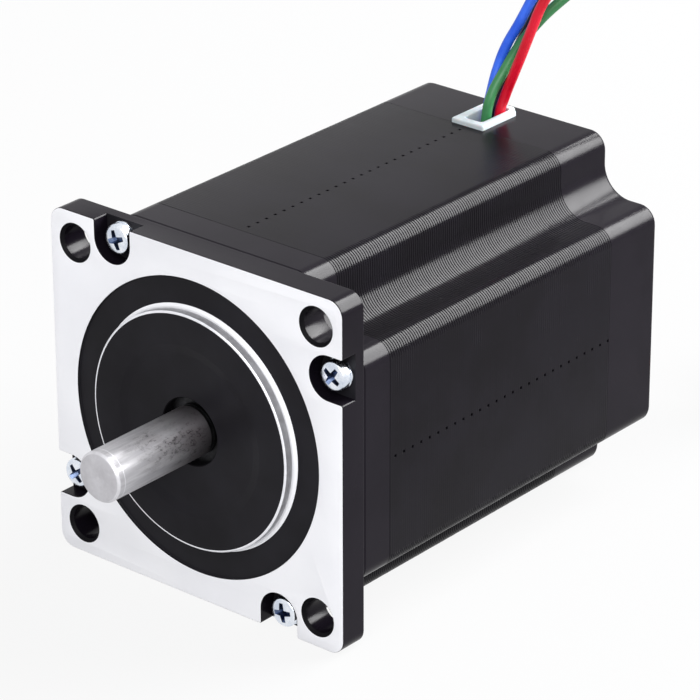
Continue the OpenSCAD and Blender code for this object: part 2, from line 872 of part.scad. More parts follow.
front_cap();
rear_cap();
stator_stack();
front_insulator();
rear_insulator();
winding(1);  // winding_1
winding(2);  // winding_2
winding(3);  // winding_3
winding(4);  // winding_4
winding(5);  // winding_5
winding(6);  // winding_6
winding(7);  // winding_7
winding(8);  // winding_8
shaft();
front_sleeve();
rear_sleeve();
front_cup(rotor_start, 0);  // rotor_cup_1
rear_cup(rotor_start, tooth_step / 2);  // rotor_cup_2
front_cup(second_pair_y, tooth_step / 2);  // rotor_cup_3
rear_cup(second_pair_y, 0);  // rotor_cup_4
rotor_magnet(rotor_start);  // rotor_magnet_1
rotor_magnet(second_pair_y);  // rotor_magnet_2
rotor_spacer();
bearing_outer_ring(front_bearing_y);  // front_bearing_outer_ring
bearing_inner_ring(front_bearing_y);  // front_bearing_inner_ring
bearing_balls(front_bearing_y);  // front_bearing_balls
bearing_cage(front_bearing_y);  // front_bearing_cage
bearing_shields(front_bearing_y);  // front_bearing_shields
bearing_outer_ring(rear_bearing_y);  // rear_bearing_outer_ring
bearing_inner_ring(rear_bearing_y);  // rear_bearing_inner_ring
bearing_balls(rear_bearing_y);  // rear_bearing_balls
bearing_cage(rear_bearing_y);  // rear_bearing_cage
bearing_shields(rear_bearing_y);  // rear_bearing_shields
wave_washer();
case_screws();
lock_washers();
grommet();
terminal_board();
terminal_pins();
color([0.8, 0.05, 0.12]) lead_run(red_route);  // red_lead_run
color([0.15, 0.5, 0.25]) lead_run(green_route);  // green_lead_run
color([0.15, 0.35, 0.85]) lead_run(blue_route);  // blue_lead_run
color([0.08, 0.08, 0.08]) lead_run(black_route);  // black_lead_run
color([0.8, 0.05, 0.12]) lead_coil(red_route);  // red_lead_coil
color([0.15, 0.5, 0.25]) lead_coil(green_route);  // green_lead_coil
color([0.15, 0.35, 0.85]) lead_coil(blue_route);  // blue_lead_coil
color([0.08, 0.08, 0.08]) lead_coil(black_route);  // black_lead_coil
lead_tip(red_route);  // red_lead_tip
lead_tip(green_route);  // green_lead_tip
lead_tip(blue_route);  // blue_lead_tip
lead_tip(black_route);  // black_lead_tip
coil_tie();
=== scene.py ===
import math
import random

import bmesh
import bpy
from mathutils import Matrix, Vector
from mathutils.geometry import tessellate_polygon


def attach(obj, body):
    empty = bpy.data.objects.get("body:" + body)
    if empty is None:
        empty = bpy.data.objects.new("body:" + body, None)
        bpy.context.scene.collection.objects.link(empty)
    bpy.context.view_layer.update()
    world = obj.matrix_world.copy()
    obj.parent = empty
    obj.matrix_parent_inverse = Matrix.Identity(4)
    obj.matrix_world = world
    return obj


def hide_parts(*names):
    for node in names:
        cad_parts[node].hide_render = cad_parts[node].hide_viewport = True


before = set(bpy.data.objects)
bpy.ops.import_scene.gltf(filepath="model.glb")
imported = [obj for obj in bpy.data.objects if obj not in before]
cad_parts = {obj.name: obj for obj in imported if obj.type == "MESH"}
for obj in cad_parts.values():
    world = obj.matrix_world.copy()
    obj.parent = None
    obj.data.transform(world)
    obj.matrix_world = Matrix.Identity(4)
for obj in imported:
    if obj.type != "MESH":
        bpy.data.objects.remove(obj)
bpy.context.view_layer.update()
scene = bpy.context.scene
MM = 0.001

# main sizes, in mm, mostly the CAD's; the teeth's steps and halves are in degrees
HALF = 28.5
HOLE_AT = 23.57
HOLE_R, HOLE_CHAMFER = 2.65, 0.45
NOTCH_R = 5.0
LOBE = HOLE_AT - NOTCH_R
LOBE_FILLET = 2.8
FLANGE_T, FLANGE_R = 4.8, 2.5
SEAM_W, SEAM_DEPTH = 0.35, 0.07
FRONT_LEN = 10.75
SHEET_T, SHEETS = 0.5, 107
SLOT_R, SHOE_R, ROOT_R, BORE_R, NECK_W, NECK_RISE = 25.2, 20.9, 20.0, 19.1, 5.8, 0.5
POLES, TEETH, TOOTH_STEP, TOOTH_HALF, SHOE_HALF = 8, 6, 7.2, 1.8, 2.75 * 7.2
STACK_END = FRONT_LEN + SHEET_T * SHEETS
BODY_END = STACK_END + 11.75
RING_R, RING_DEPTH = 23.95, 0.4
PILOT_R, PILOT_H, PILOT_CHAMFER, PILOT_FILLET = 19.05, 1.6, 0.16, 0.6
DISH_R, DISH_DEPTH = 13.9, 0.3
NOSE_R = 5.4
SEAT_R, SEAT_Y, SEAT_W = 11.02, 0.4, 7.0
BOSS_R = 13.5
CAVITY_R = 25.48
FRONT_CAVITY_Y, REAR_CAVITY_Y = 6.2, 73.0
REAR_BEARING_Y, REAR_SEAT_Y = 66.4, 74.0
SCREW_X, SCREW_Z = 16.0, 25.8
POCKET_R, POCKET_DEPTH = 3.55, 2.9
SCREW_HOLE_R, TAPPED_R = 1.45, 1.27
HEAD_R, HEAD_H, HEAD_Y = 2.35, 1.65, 2.3
WASHER_BORE_R, WASHER_R, WASHER_T = 1.33, 2.45, 0.6
SCREW_R, SCREW_END = 1.23, 72.3
SHAFT_R, SHAFT_OUT, SHAFT_END_Y = 4.0, 21.0, 74.5
SHAFT_GROOVE_DEPTH, SHAFT_GROOVE_Y = 0.25, (-0.9, -0.2)
ROTOR_SEAT_R, ROTOR_SEAT_Y = 5.0, (11.25, 63.75)
GROMMET_HALF, GROMMET_LEN, GROMMET_CORNER = 3.2, 10, 1.5
GROMMET_LOW, GROMMET_TOP = 25.5, 29.2
OPENING_HALF, OPENING_Y = 1.7, (65.85, 72.95)
LEAD_D = 1.65
LEAD_TURN, LEAD_Y = math.radians(40), 70.0
COIL_R, COIL_PITCH, COIL_TURNS, CURL_R = 12.6, 2.15, 2.5, 4.5
TIP_D, TIP_LEN = 0.76, 6.0
TIE_T, TIE_W, TIE_HEAD_W, TIE_HEAD_D = 0.6, 2.5, 3.5, 2.0

# fine detail of the caps, in mm: edges, and the rings beside them; pairs are (sideways, along y)
FLANGE_EDGE, POCKET_EDGE, RING_EDGE, RING_FOOT, NOSE_EDGE = 0.12, 0.32, 0.12, 0.1, 0.12
HOLE_EDGE, HOLE_BACK_EDGE, HOLE_BEND = 0.06, 0.03, ((0.08, -0.06), (0.0, 0.05))
RIM_W, DISH_EDGE, DISH_EASE, DISH_SLOPE_W, DISH_FLOOR_IN = 0.18, 0.08, 0.03, 1.3, 1.5
SEAM_FLAT, SEAM_SUPPORT, CAP_EDGE, EDGE_SUPPORT = 0.25, 0.1, 0.07, 0.17
BACK_SUPPORT, BACK_EDGE, BACK_CHAMFER = 0.6, 0.5, ((0.1, 0.2), (0.45, 0.0))
BACK_HOLE_EDGE, BACK_STEP_EDGE = 0.2, 0.1

# fine detail of the sheets, in mm: seams, uneven edges and stamped marks
SEAM_HALF = 0.11
SHEET_SEAM_FLAT, SHEET_SEAM_BEND = 0.012, 0.065
SHEET_UNEVEN_FLAT, SHEET_UNEVEN_BEND = 0.004, 0.016
MARK_DEPTH, MARK_HALF, MARK_WALL, MARK_SUPPORT = 0.25, 0.22, 0.24, 1.2

# fine detail of the screws, washers and shaft, in mm and degrees; pairs are (radius or inset, depth),
# and each level of the cross is (arm's reach, half its width, depth)
DOME_R, DOME_EDGE_R = 9.0, 1.95
HEAD_BEND, HEAD_BACK_EDGE = ((2.15, 0.07), (2.28, 0.18), (HEAD_R, 0.36)), 0.08
SCREW_CHAMFER, SCREW_CHAMFER_LEN = 0.3, 0.4
CROSS_R, CROSS_DEPTH = 1.75, 1.25
CROSS_LEVELS = ((CROSS_R, 0.5, -0.4), (1.62, 0.46, 0.05), (0.8, 0.3, CROSS_DEPTH))
SCREW_TURNS = (20, 55, 10, 40)
WASHER_CORNER, WASHER_LIFT = 0.09, 0.28
WASHER_TURN, WASHER_LIFT_REACH = math.radians(344), math.radians(55)
WASHER_STARTS = (80, 30, 200, 300)
TIP_DIMPLE = ((0.03, 0.1), (0.2, 0.08), (0.45, 0.0))
TIP_CHAMFER = ((0.42, 0.0), (0.34, 0.03), (0.06, 0.3), (0.0, 0.4), (0.0, 0.5))
SHAFT_BACK_CHAMFER = 0.4

# fine detail of the grommet, leads and tie, in mm, and the points in a coil's turn and in its curl
SLOT_LOW, SLOT_TOP = 25.1, 30.0
GROMMET_GAP, GROMMET_SIDE_EDGE, GROMMET_TOP_EDGE = 0.02, 0.35, 0.28
OPENING_SIDE_EDGE, OPENING_TOP_EDGE = 0.45, 0.3
COIL_STEPS, CURL_STEPS = 24, 6
STRAND_R, STRAND_RING_R, STRAND_TURNS = TIP_D / 5.6, TIP_D / 3, 1.3
TIE_EDGE, TIE_CORNER, TIE_GAP, TIE_SLACK = 0.12, 0.4, 0.05, 0.3
TIE_HEAD_EDGE, TIE_HEAD_OUT = 0.25, 1.3
FLOOR_Z = -28.6

# the floor's reach and the place that the lamps face, in metres
FLOOR_REACH = 6.0
LIT_POINT = (0, 0.03, 0)

# degrees between two faces from which the edge is shaded sharp
SHARP, STACK_SHARP, SHAFT_SHARP, SCREW_SHARP = 35, 18, 25, 32

# Blender's automatic handles are the mean direction times the distance over this
AUTO_HANDLE = 2.5614


# camera: the photograph's viewpoint, fitted to its edges; its place and sensor are in mm
SENSOR = 36.0
PHOTO_WIDTH, FOCAL_PIXELS = 700, 4027.764
CAMERA_AT = (362.29, -396.79, 262.39)
CAMERA_RIGHT = (0.76718, 0.64143, -0.00198)
CAMERA_DOWN = (0.26900, -0.32454, -0.90682)
CAMERA_FORWARD = (-0.58230, 0.69516, -0.42152)


def add_camera():
    data = bpy.data.cameras.new("camera")
    data.sensor_fit = "HORIZONTAL"
    data.sensor_width = SENSOR
    data.lens = FOCAL_PIXELS / PHOTO_WIDTH * SENSOR
    data.clip_start, data.clip_end = 0.01, 20.0
    cam = bpy.data.objects.new("camera", data)
    scene.collection.objects.link(cam)
    axes = (Vector(CAMERA_RIGHT), -Vector(CAMERA_DOWN), -Vector(CAMERA_FORWARD))
    turn = Matrix(axes).transposed().to_4x4()
    cam.matrix_world = Matrix.Translation(Vector(CAMERA_AT) * MM) @ turn
    scene.camera = cam


add_camera()


# helpers for meshes
class Shell:
    """Collects rings of points and the faces between them.

    Points are (x, z) pairs in mm at a depth y.
    """

    def __init__(self):
        self.points, self.faces, self.slots = [], [], []

    def ring(self, outline, y):
        first = len(self.points)
        self.points += [(x * MM, y * MM, z * MM) for x, z in outline]
        return list(range(first, first + len(outline)))

    def face(self, corners, slot=0):
        self.faces.append(corners)
        self.slots.append(slot)

    def wall(self, a, b, slot=0):
        """Faces between two rings with as many points each."""
        n = len(a)
        for i in range(n):
            j = (i + 1) % n
            self.face((a[i], a[j], b[j], b[i]), slot)

    def fill(self, loops, slot=0):
        """A flat face inside the first loop, with the other loops as holes."""
        flat = [i for loop in loops for i in loop]
        lines = [[Vector((self.points[i][0], self.points[i][2], 0)) for i in loop] for loop in loops]
        for tri in tessellate_polygon(lines):
            self.face(tuple(flat[i] for i in tri), slot)

    def tube(self, rings):
        for a, b in zip(rings, rings[1:]):
            self.wall(a, b)

    def lathe(self, profile, segments=128, slots=None, centre=(0, 0)):
        """Rings of radius r at depth y. Returns the first and the last ring."""
        rings = [self.ring(circle(r, segments, centre), y) for r, y in profile]
        for k in range(len(rings) - 1):
            self.wall(rings[k], rings[k + 1], slots[k] if slots else 0)
        return rings[0], rings[-1]

    def build(self, name, sharp=SHARP):
        return solid(name, self.points, self.faces, self.slots, sharp)


def solid(name, points, faces, slots=None, sharp=SHARP):
    """An object with its doubled points merged, its faces turned outwards and its edges shaded."""
    mesh = bpy.data.meshes.new(name)
    mesh.from_pydata(points, [], faces)
    if slots:
        mesh.polygons.foreach_set("material_index", slots)
    bm = bmesh.new()
    bm.from_mesh(mesh)
    bmesh.ops.remove_doubles(bm, verts=bm.verts, dist=1e-7)
    bmesh.ops.recalc_face_normals(bm, faces=bm.faces)
    bm.to_mesh(mesh)
    bm.free()
    return add_mesh(mesh, sharp)


def add_mesh(mesh, sharp):
    shade(mesh, sharp)
    obj = bpy.data.objects.new(mesh.name, mesh)
    scene.collection.objects.link(obj)
    return obj


def shade(mesh, sharp):
    mesh.shade_smooth()
    mesh.set_sharp_from_angle(angle=math.radians(sharp))


def tube_faces(first, steps, around):
    """Faces along steps + 1 rings of as many points each, and the faces that close both ends."""
    faces = []
    for i in range(steps):
        for k in range(around):
            p, q = first + i * around + k, first + i * around + (k + 1) % around
            faces.append((p, q, q + around, p + around))
    faces.append(tuple(range(first, first + around)))
    faces.append(tuple(range(first + steps * around, first + (steps + 1) * around)))
    return faces


def circle(r, n, centre=(0, 0)):
    """n points, clockwise from the top."""
    turns = [2 * math.pi * i / n for i in range(n)]
    return [(centre[0] + r * math.sin(t), centre[1] + r * math.cos(t)) for t in turns]


def arc(cx, cz, r, a0, a1, n):
    """n + 1 points from angle a0 to a1, in degrees from +X towards +Z."""
    steps = [math.radians(a0 + (a1 - a0) * i / n) for i in range(n + 1)]
    return [(cx + r * math.cos(a), cz + r * math.sin(a)) for a in steps]


def four_times(points):
    """The points of one side, then the same turned by a quarter turn for each further side."""
    out = []
    for _ in range(4):
        out += points
        points = [(z, -x) for x, z in points]
    return out


def offset(outline, d):
    """The closed outline moved inwards by d, for an outline that runs clockwise."""
    n = len(outline)
    out = []
    for i in range(n):
        (ax, az), (bx, bz), (cx, cz) = outline[i - 1], outline[i], outline[(i + 1) % n]
        ux, uz, vx, vz = bx - ax, bz - az, cx - bx, cz - bz
        lu, lv = math.hypot(ux, uz), math.hypot(vx, vz)
        nx, nz = uz / lu + vz / lv, -ux / lu - vx / lv
        scale = 2 * d / (nx * nx + nz * nz)
        out.append((bx + nx * scale, bz + nz * scale))
    return out


def rounding(d, n=3):
    """(inset, depth) of the rings that round an edge by d, from the face to the wall."""
    steps = [math.pi / 2 * i / n for i in range(n + 1)]
    return [(d * (1 - math.sin(t)), d * (1 - math.cos(t))) for t in steps]


def cut_out(obj, cutter):
    """Takes the cutter's volume out of the object's mesh, and deletes the cutter."""
    mod = obj.modifiers.new("cut", "BOOLEAN")
    mod.operation, mod.object, mod.solver = "DIFFERENCE", cutter, "EXACT"
    cut = obj.evaluated_get(bpy.context.evaluated_depsgraph_get())
    done = bpy.data.meshes.new_from_object(cut)
    obj.modifiers.clear()
    old, obj.data = obj.data, done
    bpy.data.meshes.remove(old)
    bpy.data.objects.remove(cutter)


# helpers for materials
class Nodes:
    """A node tree being built: add() makes a node and links its inputs."""

    def __init__(self, name):
        self.mat = bpy.data.materials.new(name)
        self.mat.use_nodes = True
        self.tree = self.mat.node_tree
        self.shader = self.tree.nodes["Principled BSDF"]
        self.place = self.add("ShaderNodeTexCoord").outputs["Object"]

    def add(self, kind, inputs=None, **attrs):
        node = self.tree.nodes.new(kind)
        for key, value in attrs.items():
            setattr(node, key, value)
        for key, value in (inputs or {}).items():
            self.put(node.inputs[key], value)
        return node

    def put(self, socket, value):
        if isinstance(value, bpy.types.NodeSocket):
            self.tree.links.new(value, socket)
        else:
            socket.default_value = value

    def set(self, **inputs):
        for key, value in inputs.items():
            self.put(self.shader.inputs[key.replace("_", " ")], value)

    def noise(self, scale, detail=4.0, rough=0.6, stretch=(1, 1, 1)):
        place = self.add("ShaderNodeMapping", {"Vector": self.place, "Scale": stretch}).outputs[0]
        inputs = {"Vector": place, "Scale": scale, "Detail": detail, "Roughness": rough}
        return self.add("ShaderNodeTexNoise", inputs).outputs["Fac"]

    def band(self, value, low, high, out_low=0.0, out_high=1.0):
        return self.add(
            "ShaderNodeMapRange",
            {"Value": value, "From Min": low, "From Max": high, "To Min": out_low, "To Max": out_high},
            interpolation_type="SMOOTHSTEP",
        ).outputs[0]

    def zone(self, place, low, high, out_low=0.0, out_high=1.0):
        """A band whose limits are places in mm."""
        return self.band(place, low * MM, high * MM, out_low, out_high)

    def math(self, operation, a, b=0.0):
        node = self.add("ShaderNodeMath", operation=operation)
        self.put(node.inputs[0], a)
        self.put(node.inputs[1], b)
        return node.outputs[0]

    def mix(self, factor, a, b):
        node = self.add("ShaderNodeMix", data_type="RGBA")
        self.put(node.inputs["Factor"], factor)
        self.put(node.inputs[6], a)
        self.put(node.inputs[7], b)
        return node.outputs[2]

    def bump(self, *layers):
        """layers of (height, strength, distance in mm)."""
        normal = None
        for height, strength, distance in layers:
            inputs = {"Height": height, "Strength": strength, "Distance": distance * MM}
            node = self.add("ShaderNodeBump", inputs)
            if normal is not None:
                self.put(node.inputs["Normal"], normal)
            normal = node.outputs[0]
        self.put(self.shader.inputs["Normal"], normal)

    def xyz(self):
        return self.add("ShaderNodeSeparateXYZ", {"Vector": self.place}).outputs

    def radius(self):
        x, _, z = self.xyz()
        squares = [self.math("MULTIPLY", v, v) for v in (x, z)]
        return self.math("SQRT", self.math("ADD", *squares))


def rgb(r, g, b):
    """A colour as it is seen on the screen, from 0 to 255, in linear light."""
    seen = [c / 255 for c in (r, g, b)]
    linear = [c / 12.92 if c <= 0.04045 else ((c + 0.055) / 1.055) ** 2.4 for c in seen]
    return (*linear, 1.0)


def black_paint(name, low, high, rough=0.2, specular=0.2, ior=1.3):
    """Sprayed satin paint: a fine orange peel, faint dust and slow changes of shade."""
    n = Nodes(name)
    slow = n.noise(60, 3)
    fine = n.noise(2600, 3, 0.7)
    dust = n.band(n.noise(900, 6, 0.8), 0.62, 0.8)
    colour = n.mix(n.band(slow, 0.35, 0.65), low, high)
    n.set(
        Base_Color=n.mix(n.math("MULTIPLY", dust, 0.3), colour, rgb(46, 44, 48)),
        Roughness=n.band(n.noise(300, 4), 0.3, 0.7, rough - 0.01, rough + 0.02),
        Specular_IOR_Level=specular,
        IOR=ior,
    )
    n.bump((n.noise(700, 2), 0.06, 0.04), (fine, 0.08, 0.012))
    return n.mat


def machined_face():
    """The milled mounting face: near white, with faint turning arcs and a few dull spots."""
    n = Nodes("machined_face")
    r = n.radius()
    wobble = n.math("ADD", n.math("MULTIPLY", r, 9000.0), n.math("MULTIPLY", n.noise(200, 2), 6.0))
    arcs = n.math("SINE", wobble)
    spots = n.band(n.noise(420, 5, 0.75), 0.66, 0.8)
    slow = n.band(n.noise(45, 2), 0.3, 0.7)
    clean = n.mix(slow, rgb(232, 232, 236), rgb(240, 240, 243))
    n.set(
        Base_Color=n.mix(n.math("MULTIPLY", spots, 0.2), clean, rgb(205, 205, 210)),
        Metallic=0.3,
        Roughness=n.band(n.noise(700, 4), 0.3, 0.7, 0.40, 0.55),
    )
    n.bump((arcs, 0.04, 0.01), (n.noise(1500, 3), 0.06, 0.01))
    return n.mat


def bright_metal(name, low, high, rough, scale=400, metallic=1.0, stretch=(1, 1, 1), bump=0.05):
    """Bare or plated metal, uneven in colour, gloss and height at the given scale."""
    n = Nodes(name)
    n.set(
        Base_Color=n.mix(n.band(n.noise(scale, 5, 0.7, stretch), 0.3, 0.7), low, high),
        Metallic=metallic,
        Roughness=n.band(n.noise(scale * 2.3, 4, 0.6, stretch), 0.3, 0.7, rough * 0.8, rough * 1.3),
    )
    n.bump((n.noise(scale * 5, 3, 0.6, stretch), bump, 0.01))
    return n.mat


def ground_shaft():
    """Ground steel, with marks that run round it, so that light spreads along it.

    It is stained towards the cap, and its colour is darkened towards the cap as a painted reflection of
    the dark cap; a thin ring of painted highlight near the tip stands for a turned line.
    """
    n = Nodes("ground_shaft")
    y = n.xyz()[1]
    rings = n.noise(5200, 2, 0.5, (0.01, 1, 0.01))
    streaks = n.noise(1500, 3, 0.6, (1, 0.06, 1))
    smear = n.band(n.noise(260, 4, 0.65, (1, 0.35, 1)), 0.42, 0.7)
    stained = n.math("MULTIPLY", smear, n.zone(y, -19, -6, 0.15, 1.0))
    # painted reflection: the colour darkens towards the cap, standing in for the dark cap mirrored in the
    # shaft
    painted_dark = n.zone(y, -13, -1)
    speck = n.math("MULTIPLY", n.band(n.noise(1900, 4, 0.75, (1, 0.6, 1)), 0.5, 0.62), stained)
    # painted highlight: a thin near-white ring of colour near the tip, where a turned line catches the
    # light
    from_line = n.math("ABSOLUTE", n.math("ADD", y, 19.6 * MM))
    painted_glint = n.zone(from_line, 0.04, 0.12, 1.0, 0.0)
    base = n.mix(n.band(streaks, 0.35, 0.65), rgb(204, 203, 207), rgb(224, 223, 226))
    with_painted_reflection = n.mix(painted_dark, base, rgb(112, 109, 113))
    dulled = n.mix(n.math("MULTIPLY", stained, 0.55), with_painted_reflection, rgb(116, 106, 110))
    specked = n.mix(n.math("MULTIPLY", speck, 0.9), dulled, rgb(40, 32, 38))
    n.set(
        Base_Color=n.mix(n.math("MULTIPLY", painted_glint, 0.8), specked, rgb(246, 246, 250)),
        Metallic=0.97,
        Specular_Tint=rgb(120, 120, 124),
        Roughness=n.math("ADD", n.zone(y, -21, -13, 0.5, 0.38), n.band(rings, 0.3, 0.7, -0.02, 0.02)),
        Anisotropic=0.72,
        Anisotropic_Rotation=0.25,
        Tangent=n.add("ShaderNodeTangent", direction_type="RADIAL", axis="Y").outputs[0],
    )
    n.bump((speck, -0.02, 0.006))
    return n.mat


def insulation(name, low, high, rough=0.36):
    """Extruded lead insulation: slightly uneven colour and gloss, with a faint grain."""
    n = Nodes(name)
    n.set(
        Base_Color=n.mix(n.band(n.noise(150, 3), 0.35, 0.65), low, high),
        Roughness=n.band(n.noise(500, 4), 0.3, 0.7, rough - 0.07, rough + 0.1),
        Specular_IOR_Level=0.35,
    )
    n.bump((n.noise(900, 3), 0.12, 0.03))
    return n.mat


def moulded(name, low, high, rough=0.5, subsurface=0.0):
    """Moulded plastic, slightly uneven in colour and gloss."""
    n = Nodes(name)
    n.set(
        Base_Color=n.mix(n.band(n.noise(260, 4), 0.3, 0.7), low, high),
        Roughness=n.band(n.noise(700, 3), 0.3, 0.7, rough - 0.08, rough + 0.1),
    )
    if subsurface:
        n.set(Subsurface_Weight=subsurface, Subsurface_Scale=0.002)
    n.bump((n.noise(1800, 3), 0.10, 0.02))
    return n.mat


PAINT = black_paint("black_paint", rgb(14, 11, 17), rgb(18, 15, 21), 0.22, 0.18)
DARK_PAINT = black_paint("dark_paint", rgb(25, 24, 27), rgb(31, 30, 34), 0.36, 0.14)
FACE = machined_face()
PILOT_EDGE = bright_metal("turned_rim", rgb(222, 222, 227), rgb(240, 240, 244), 0.36, metallic=0.3)
# the pilot's turned wall, painted darker than its rim and the face as shade on its side
PILOT_WALL_SHADED = bright_metal("turned_wall_painted_shade", rgb(176, 175, 180), rgb(200, 200, 204), 0.36, metallic=0.55)
STACK = black_paint("stack_paint", rgb(11, 9, 13), rgb(15, 13, 18), 0.22, 0.165)
SLOT_BLACK = black_paint("mark_shade", rgb(13, 12, 15), rgb(19, 18, 21), 0.5, 0.12)
SHAFT = ground_shaft()
SHAFT_END = bright_metal("faced_end", rgb(178, 176, 180), rgb(194, 193, 197), 0.42, 240, metallic=0.55)
# the tip's chamfer, painted lighter than the faced end as a highlight along the edge
SHAFT_RIM_HIGHLIGHT = bright_metal("turned_chamfer_painted_highlight", rgb(198, 197, 201), rgb(214, 213, 217), 0.42, metallic=0.6)
# zinc painted darker, as shade inside the screws' cross recesses
RECESS_SHADE = bright_metal("recess_zinc_painted_shade", rgb(62, 76, 104), rgb(112, 126, 154), 0.3, 900)
ZINC = bright_metal("bright_zinc", rgb(205, 214, 228), rgb(240, 244, 250), 0.22, 500)
STEEL = bright_metal("bearing_steel", rgb(150, 150, 155), rgb(190, 190, 196), 0.25)
# steel painted dark as shade: the bearings' inner rings and shields deep in the nose hole, and the shaft
# inside the cap
PAINTED_DARK_STEEL = bright_metal("painted_dark_steel", rgb(34, 34, 36), rgb(56, 56, 58), 0.4)
DULL_STEEL = bright_metal("sheet_steel", rgb(110, 110, 114), rgb(140, 140, 145), 0.42)
MAGNET = bright_metal("magnet_grey", rgb(100, 100, 106), rgb(130, 130, 136), 0.38, metallic=0.8)
BRASS = bright_metal("brass", rgb(190, 150, 80), rgb(215, 178, 105), 0.3)
COPPER = bright_metal("enamelled_copper", rgb(165, 85, 45), rgb(200, 110, 60), 0.33, 900,
                      stretch=(1, 0.05, 1), bump=0.3)
TINNED = bright_metal("tinned_strands", rgb(180, 180, 184), rgb(215, 215, 220), 0.3, 900)
GROMMET = moulded("pale_plastic", rgb(172, 181, 185), rgb(188, 195, 198), 0.5, 0.15)
INSULATOR = moulded("insulator_nylon", rgb(214, 210, 198), rgb(228, 225, 215), 0.5)
BOARD = moulded("circuit_board", rgb(26, 92, 56), rgb(34, 110, 66), 0.4)
TIE = moulded("white_nylon", rgb(226, 226, 222), rgb(238, 238, 235), 0.42, 0.2)
LEAD_COLOURS = {
    "red": insulation("red_insulation", rgb(188, 2, 30), rgb(206, 8, 42)),
    "green": insulation("green_insulation", rgb(42, 106, 62), rgb(58, 126, 76)),
    "blue": insulation("blue_insulation", rgb(34, 84, 210), rgb(54, 106, 228)),
    "black": insulation("black_insulation", rgb(26, 26, 28), rgb(36, 36, 39)),
}


def dress(obj, slot, body, nodes, *mats):
    """Materials, body and the CAD nodes that the piece stands for; the slot argument is not used."""
    for mat in mats:
        obj.data.materials.append(mat)
    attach(obj, body)
    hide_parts(*nodes)


# leads: the points of each route down to its coil, in mm, in the leads' own frame
ROUTES = {
    "red": [
        (2.4, -1.8, 17.2), (2.4, -1.8, 18.9), (2.2, -0.5, 21.8), (1.6, 0.6, 25), (1.6, 0.6, 28.6),
        (2.5, 0.1, 32), (3.8, -0.7, 36), (5, -1.1, 39.5), (6.4, -1.2, 43.5), (8.2, -1.2, 48),
        (11.48, -1.2, 52.6), (17.31, 0.14, 56), (26.07, 2.7, 57.6), (34.96, 5.42, 55.8),
        (42.07, 7.39, 50.5), (45.8, 8.25, 41), (45.8, 8.25, -16.4), (45.8, 9.67, -21.7),
        (45.8, 13.55, -25.6), (45.8, 18.8, -27), (45.8, 20.1, -27),
    ],
    "green": [
        (0.9, -0.5, 17.2), (0.9, -0.5, 18.9), (0.1, -0.9, 21.8), (-0.5, -0.9, 25), (-0.5, -0.9, 28.6),
        (0.2, -0.5, 32), (2.4, 0.9, 36), (4.3, 1.6, 39.2), (6.5, 1.9, 42.2), (10.2, 2, 46.2),
        (15.37, 2.62, 50), (22.65, 4.23, 52.6), (30.87, 6.44, 53), (38.17, 8.38, 50.4), (43.34, 9.71, 45),
        (45.8, 10.25, 36), (45.8, 10.25, -16.4), (45.8, 11.4, -20.7), (45.8, 14.55, -23.85),
        (45.8, 18.8, -25), (45.8, 20.1, -25),
    ],
    "blue": [
        (-2.2, 2.1, 17.2), (-2.2, 2.1, 18.9), (-1.7, 1.3, 21.8), (-0.35, 0.95, 25), (-0.35, 0.95, 28.6),
        (0.3, 1.4, 32), (1.4, 2.5, 36), (2.6, 2.8, 39.2), (4.6, 2.8, 43), (7, 2.8, 47.8), (10.2, 2.7, 53),
        (16.66, 3.96, 57.8), (26.07, 6.7, 60), (35.63, 9.63, 58), (42.84, 11.58, 51.5), (45.8, 12.25, 41),
        (45.8, 12.25, -16.4), (45.8, 13.13, -19.7), (45.8, 15.55, -22.1), (45.8, 18.8, -23),
        (45.8, 20.1, -23),
    ],
    "black": [
        (-0.6, 0.8, 17.2), (-0.6, 0.8, 18.9), (0.4, 1.5, 21.8), (0.8, 2.3, 25), (0.8, 2.3, 28.6),
        (1.8, 2.75, 32), (3.3, 3, 36), (4.9, 3.7, 39.5), (6.6, 4.1, 43), (8.9, 4.3, 47.8),
        (12.47, 4.66, 52.6), (18.63, 6.27, 56), (26.75, 8.77, 57.2), (34.96, 11.37, 55.4),
        (42.07, 13.39, 50), (45.8, 14.25, 40), (45.8, 14.25, -16.4), (45.8, 14.87, -18.7),
        (45.8, 16.55, -20.4), (45.8, 18.8, -21), (45.8, 20.1, -21),
    ],
}


def coil_points(route):
    """In straight, a spiral inwards, a curl and straight out, level all the way."""
    a, b, z = route[-1]
    ca, cb = a + COIL_R, b + LEAD_D
    inner = COIL_R - COIL_PITCH * COIL_TURNS
    points = []
    for i in range(int(COIL_STEPS * COIL_TURNS) + 1):
        t = math.pi - 2 * math.pi * i / COIL_STEPS
        r = COIL_R - COIL_PITCH * i / COIL_STEPS
        points.append((ca + r * math.cos(t), cb + r * math.sin(t), z))
    for i in range(1, CURL_STEPS + 1):
        t = -math.pi / 2 * i / CURL_STEPS
        points.append((ca + inner - CURL_R + CURL_R * math.cos(t), cb + CURL_R * math.sin(t), z))
    points.append((ca + inner - CURL_R - LEAD_D, cb - CURL_R, z))
    return points


def lean(p):
    """A point of the leads' own frame, in mm, as a place in the part's frame, in metres.

    The leads' own frame is turned about the vertical through the grommet.
    """
    a, b, z = p
    c, s = math.cos(LEAD_TURN), math.sin(LEAD_TURN)
    return Vector((a * c - b * s, LEAD_Y + a * s + b * c, z)) * MM


def strand_tip(name, start, direction):
    """Seven tinned strands, six twisted round one."""
    side = direction.cross(Vector((0, 0, 1))).normalized()
    up = side.cross(direction)

    def spoke(angle):
        return side * math.cos(angle) + up * math.sin(angle)

    points, faces = [], []
    steps, around = 26, 8
    for strand in range(7):
        ring_r = 0.0 if strand == 6 else STRAND_RING_R
        first = len(points)
        for i in range(steps + 1):
            t = i / steps
            phase = 2 * math.pi * (strand / 6 + STRAND_TURNS * t)
            centre = start + direction * (TIP_LEN * t * MM) + spoke(phase) * (ring_r * MM)
            r = STRAND_R * (1 if t < 0.97 else 0.8) * MM
            points += [centre + spoke(2 * math.pi * k / around) * r for k in range(around)]
        faces += tube_faces(first, steps, around)
    return solid(name, points, faces)


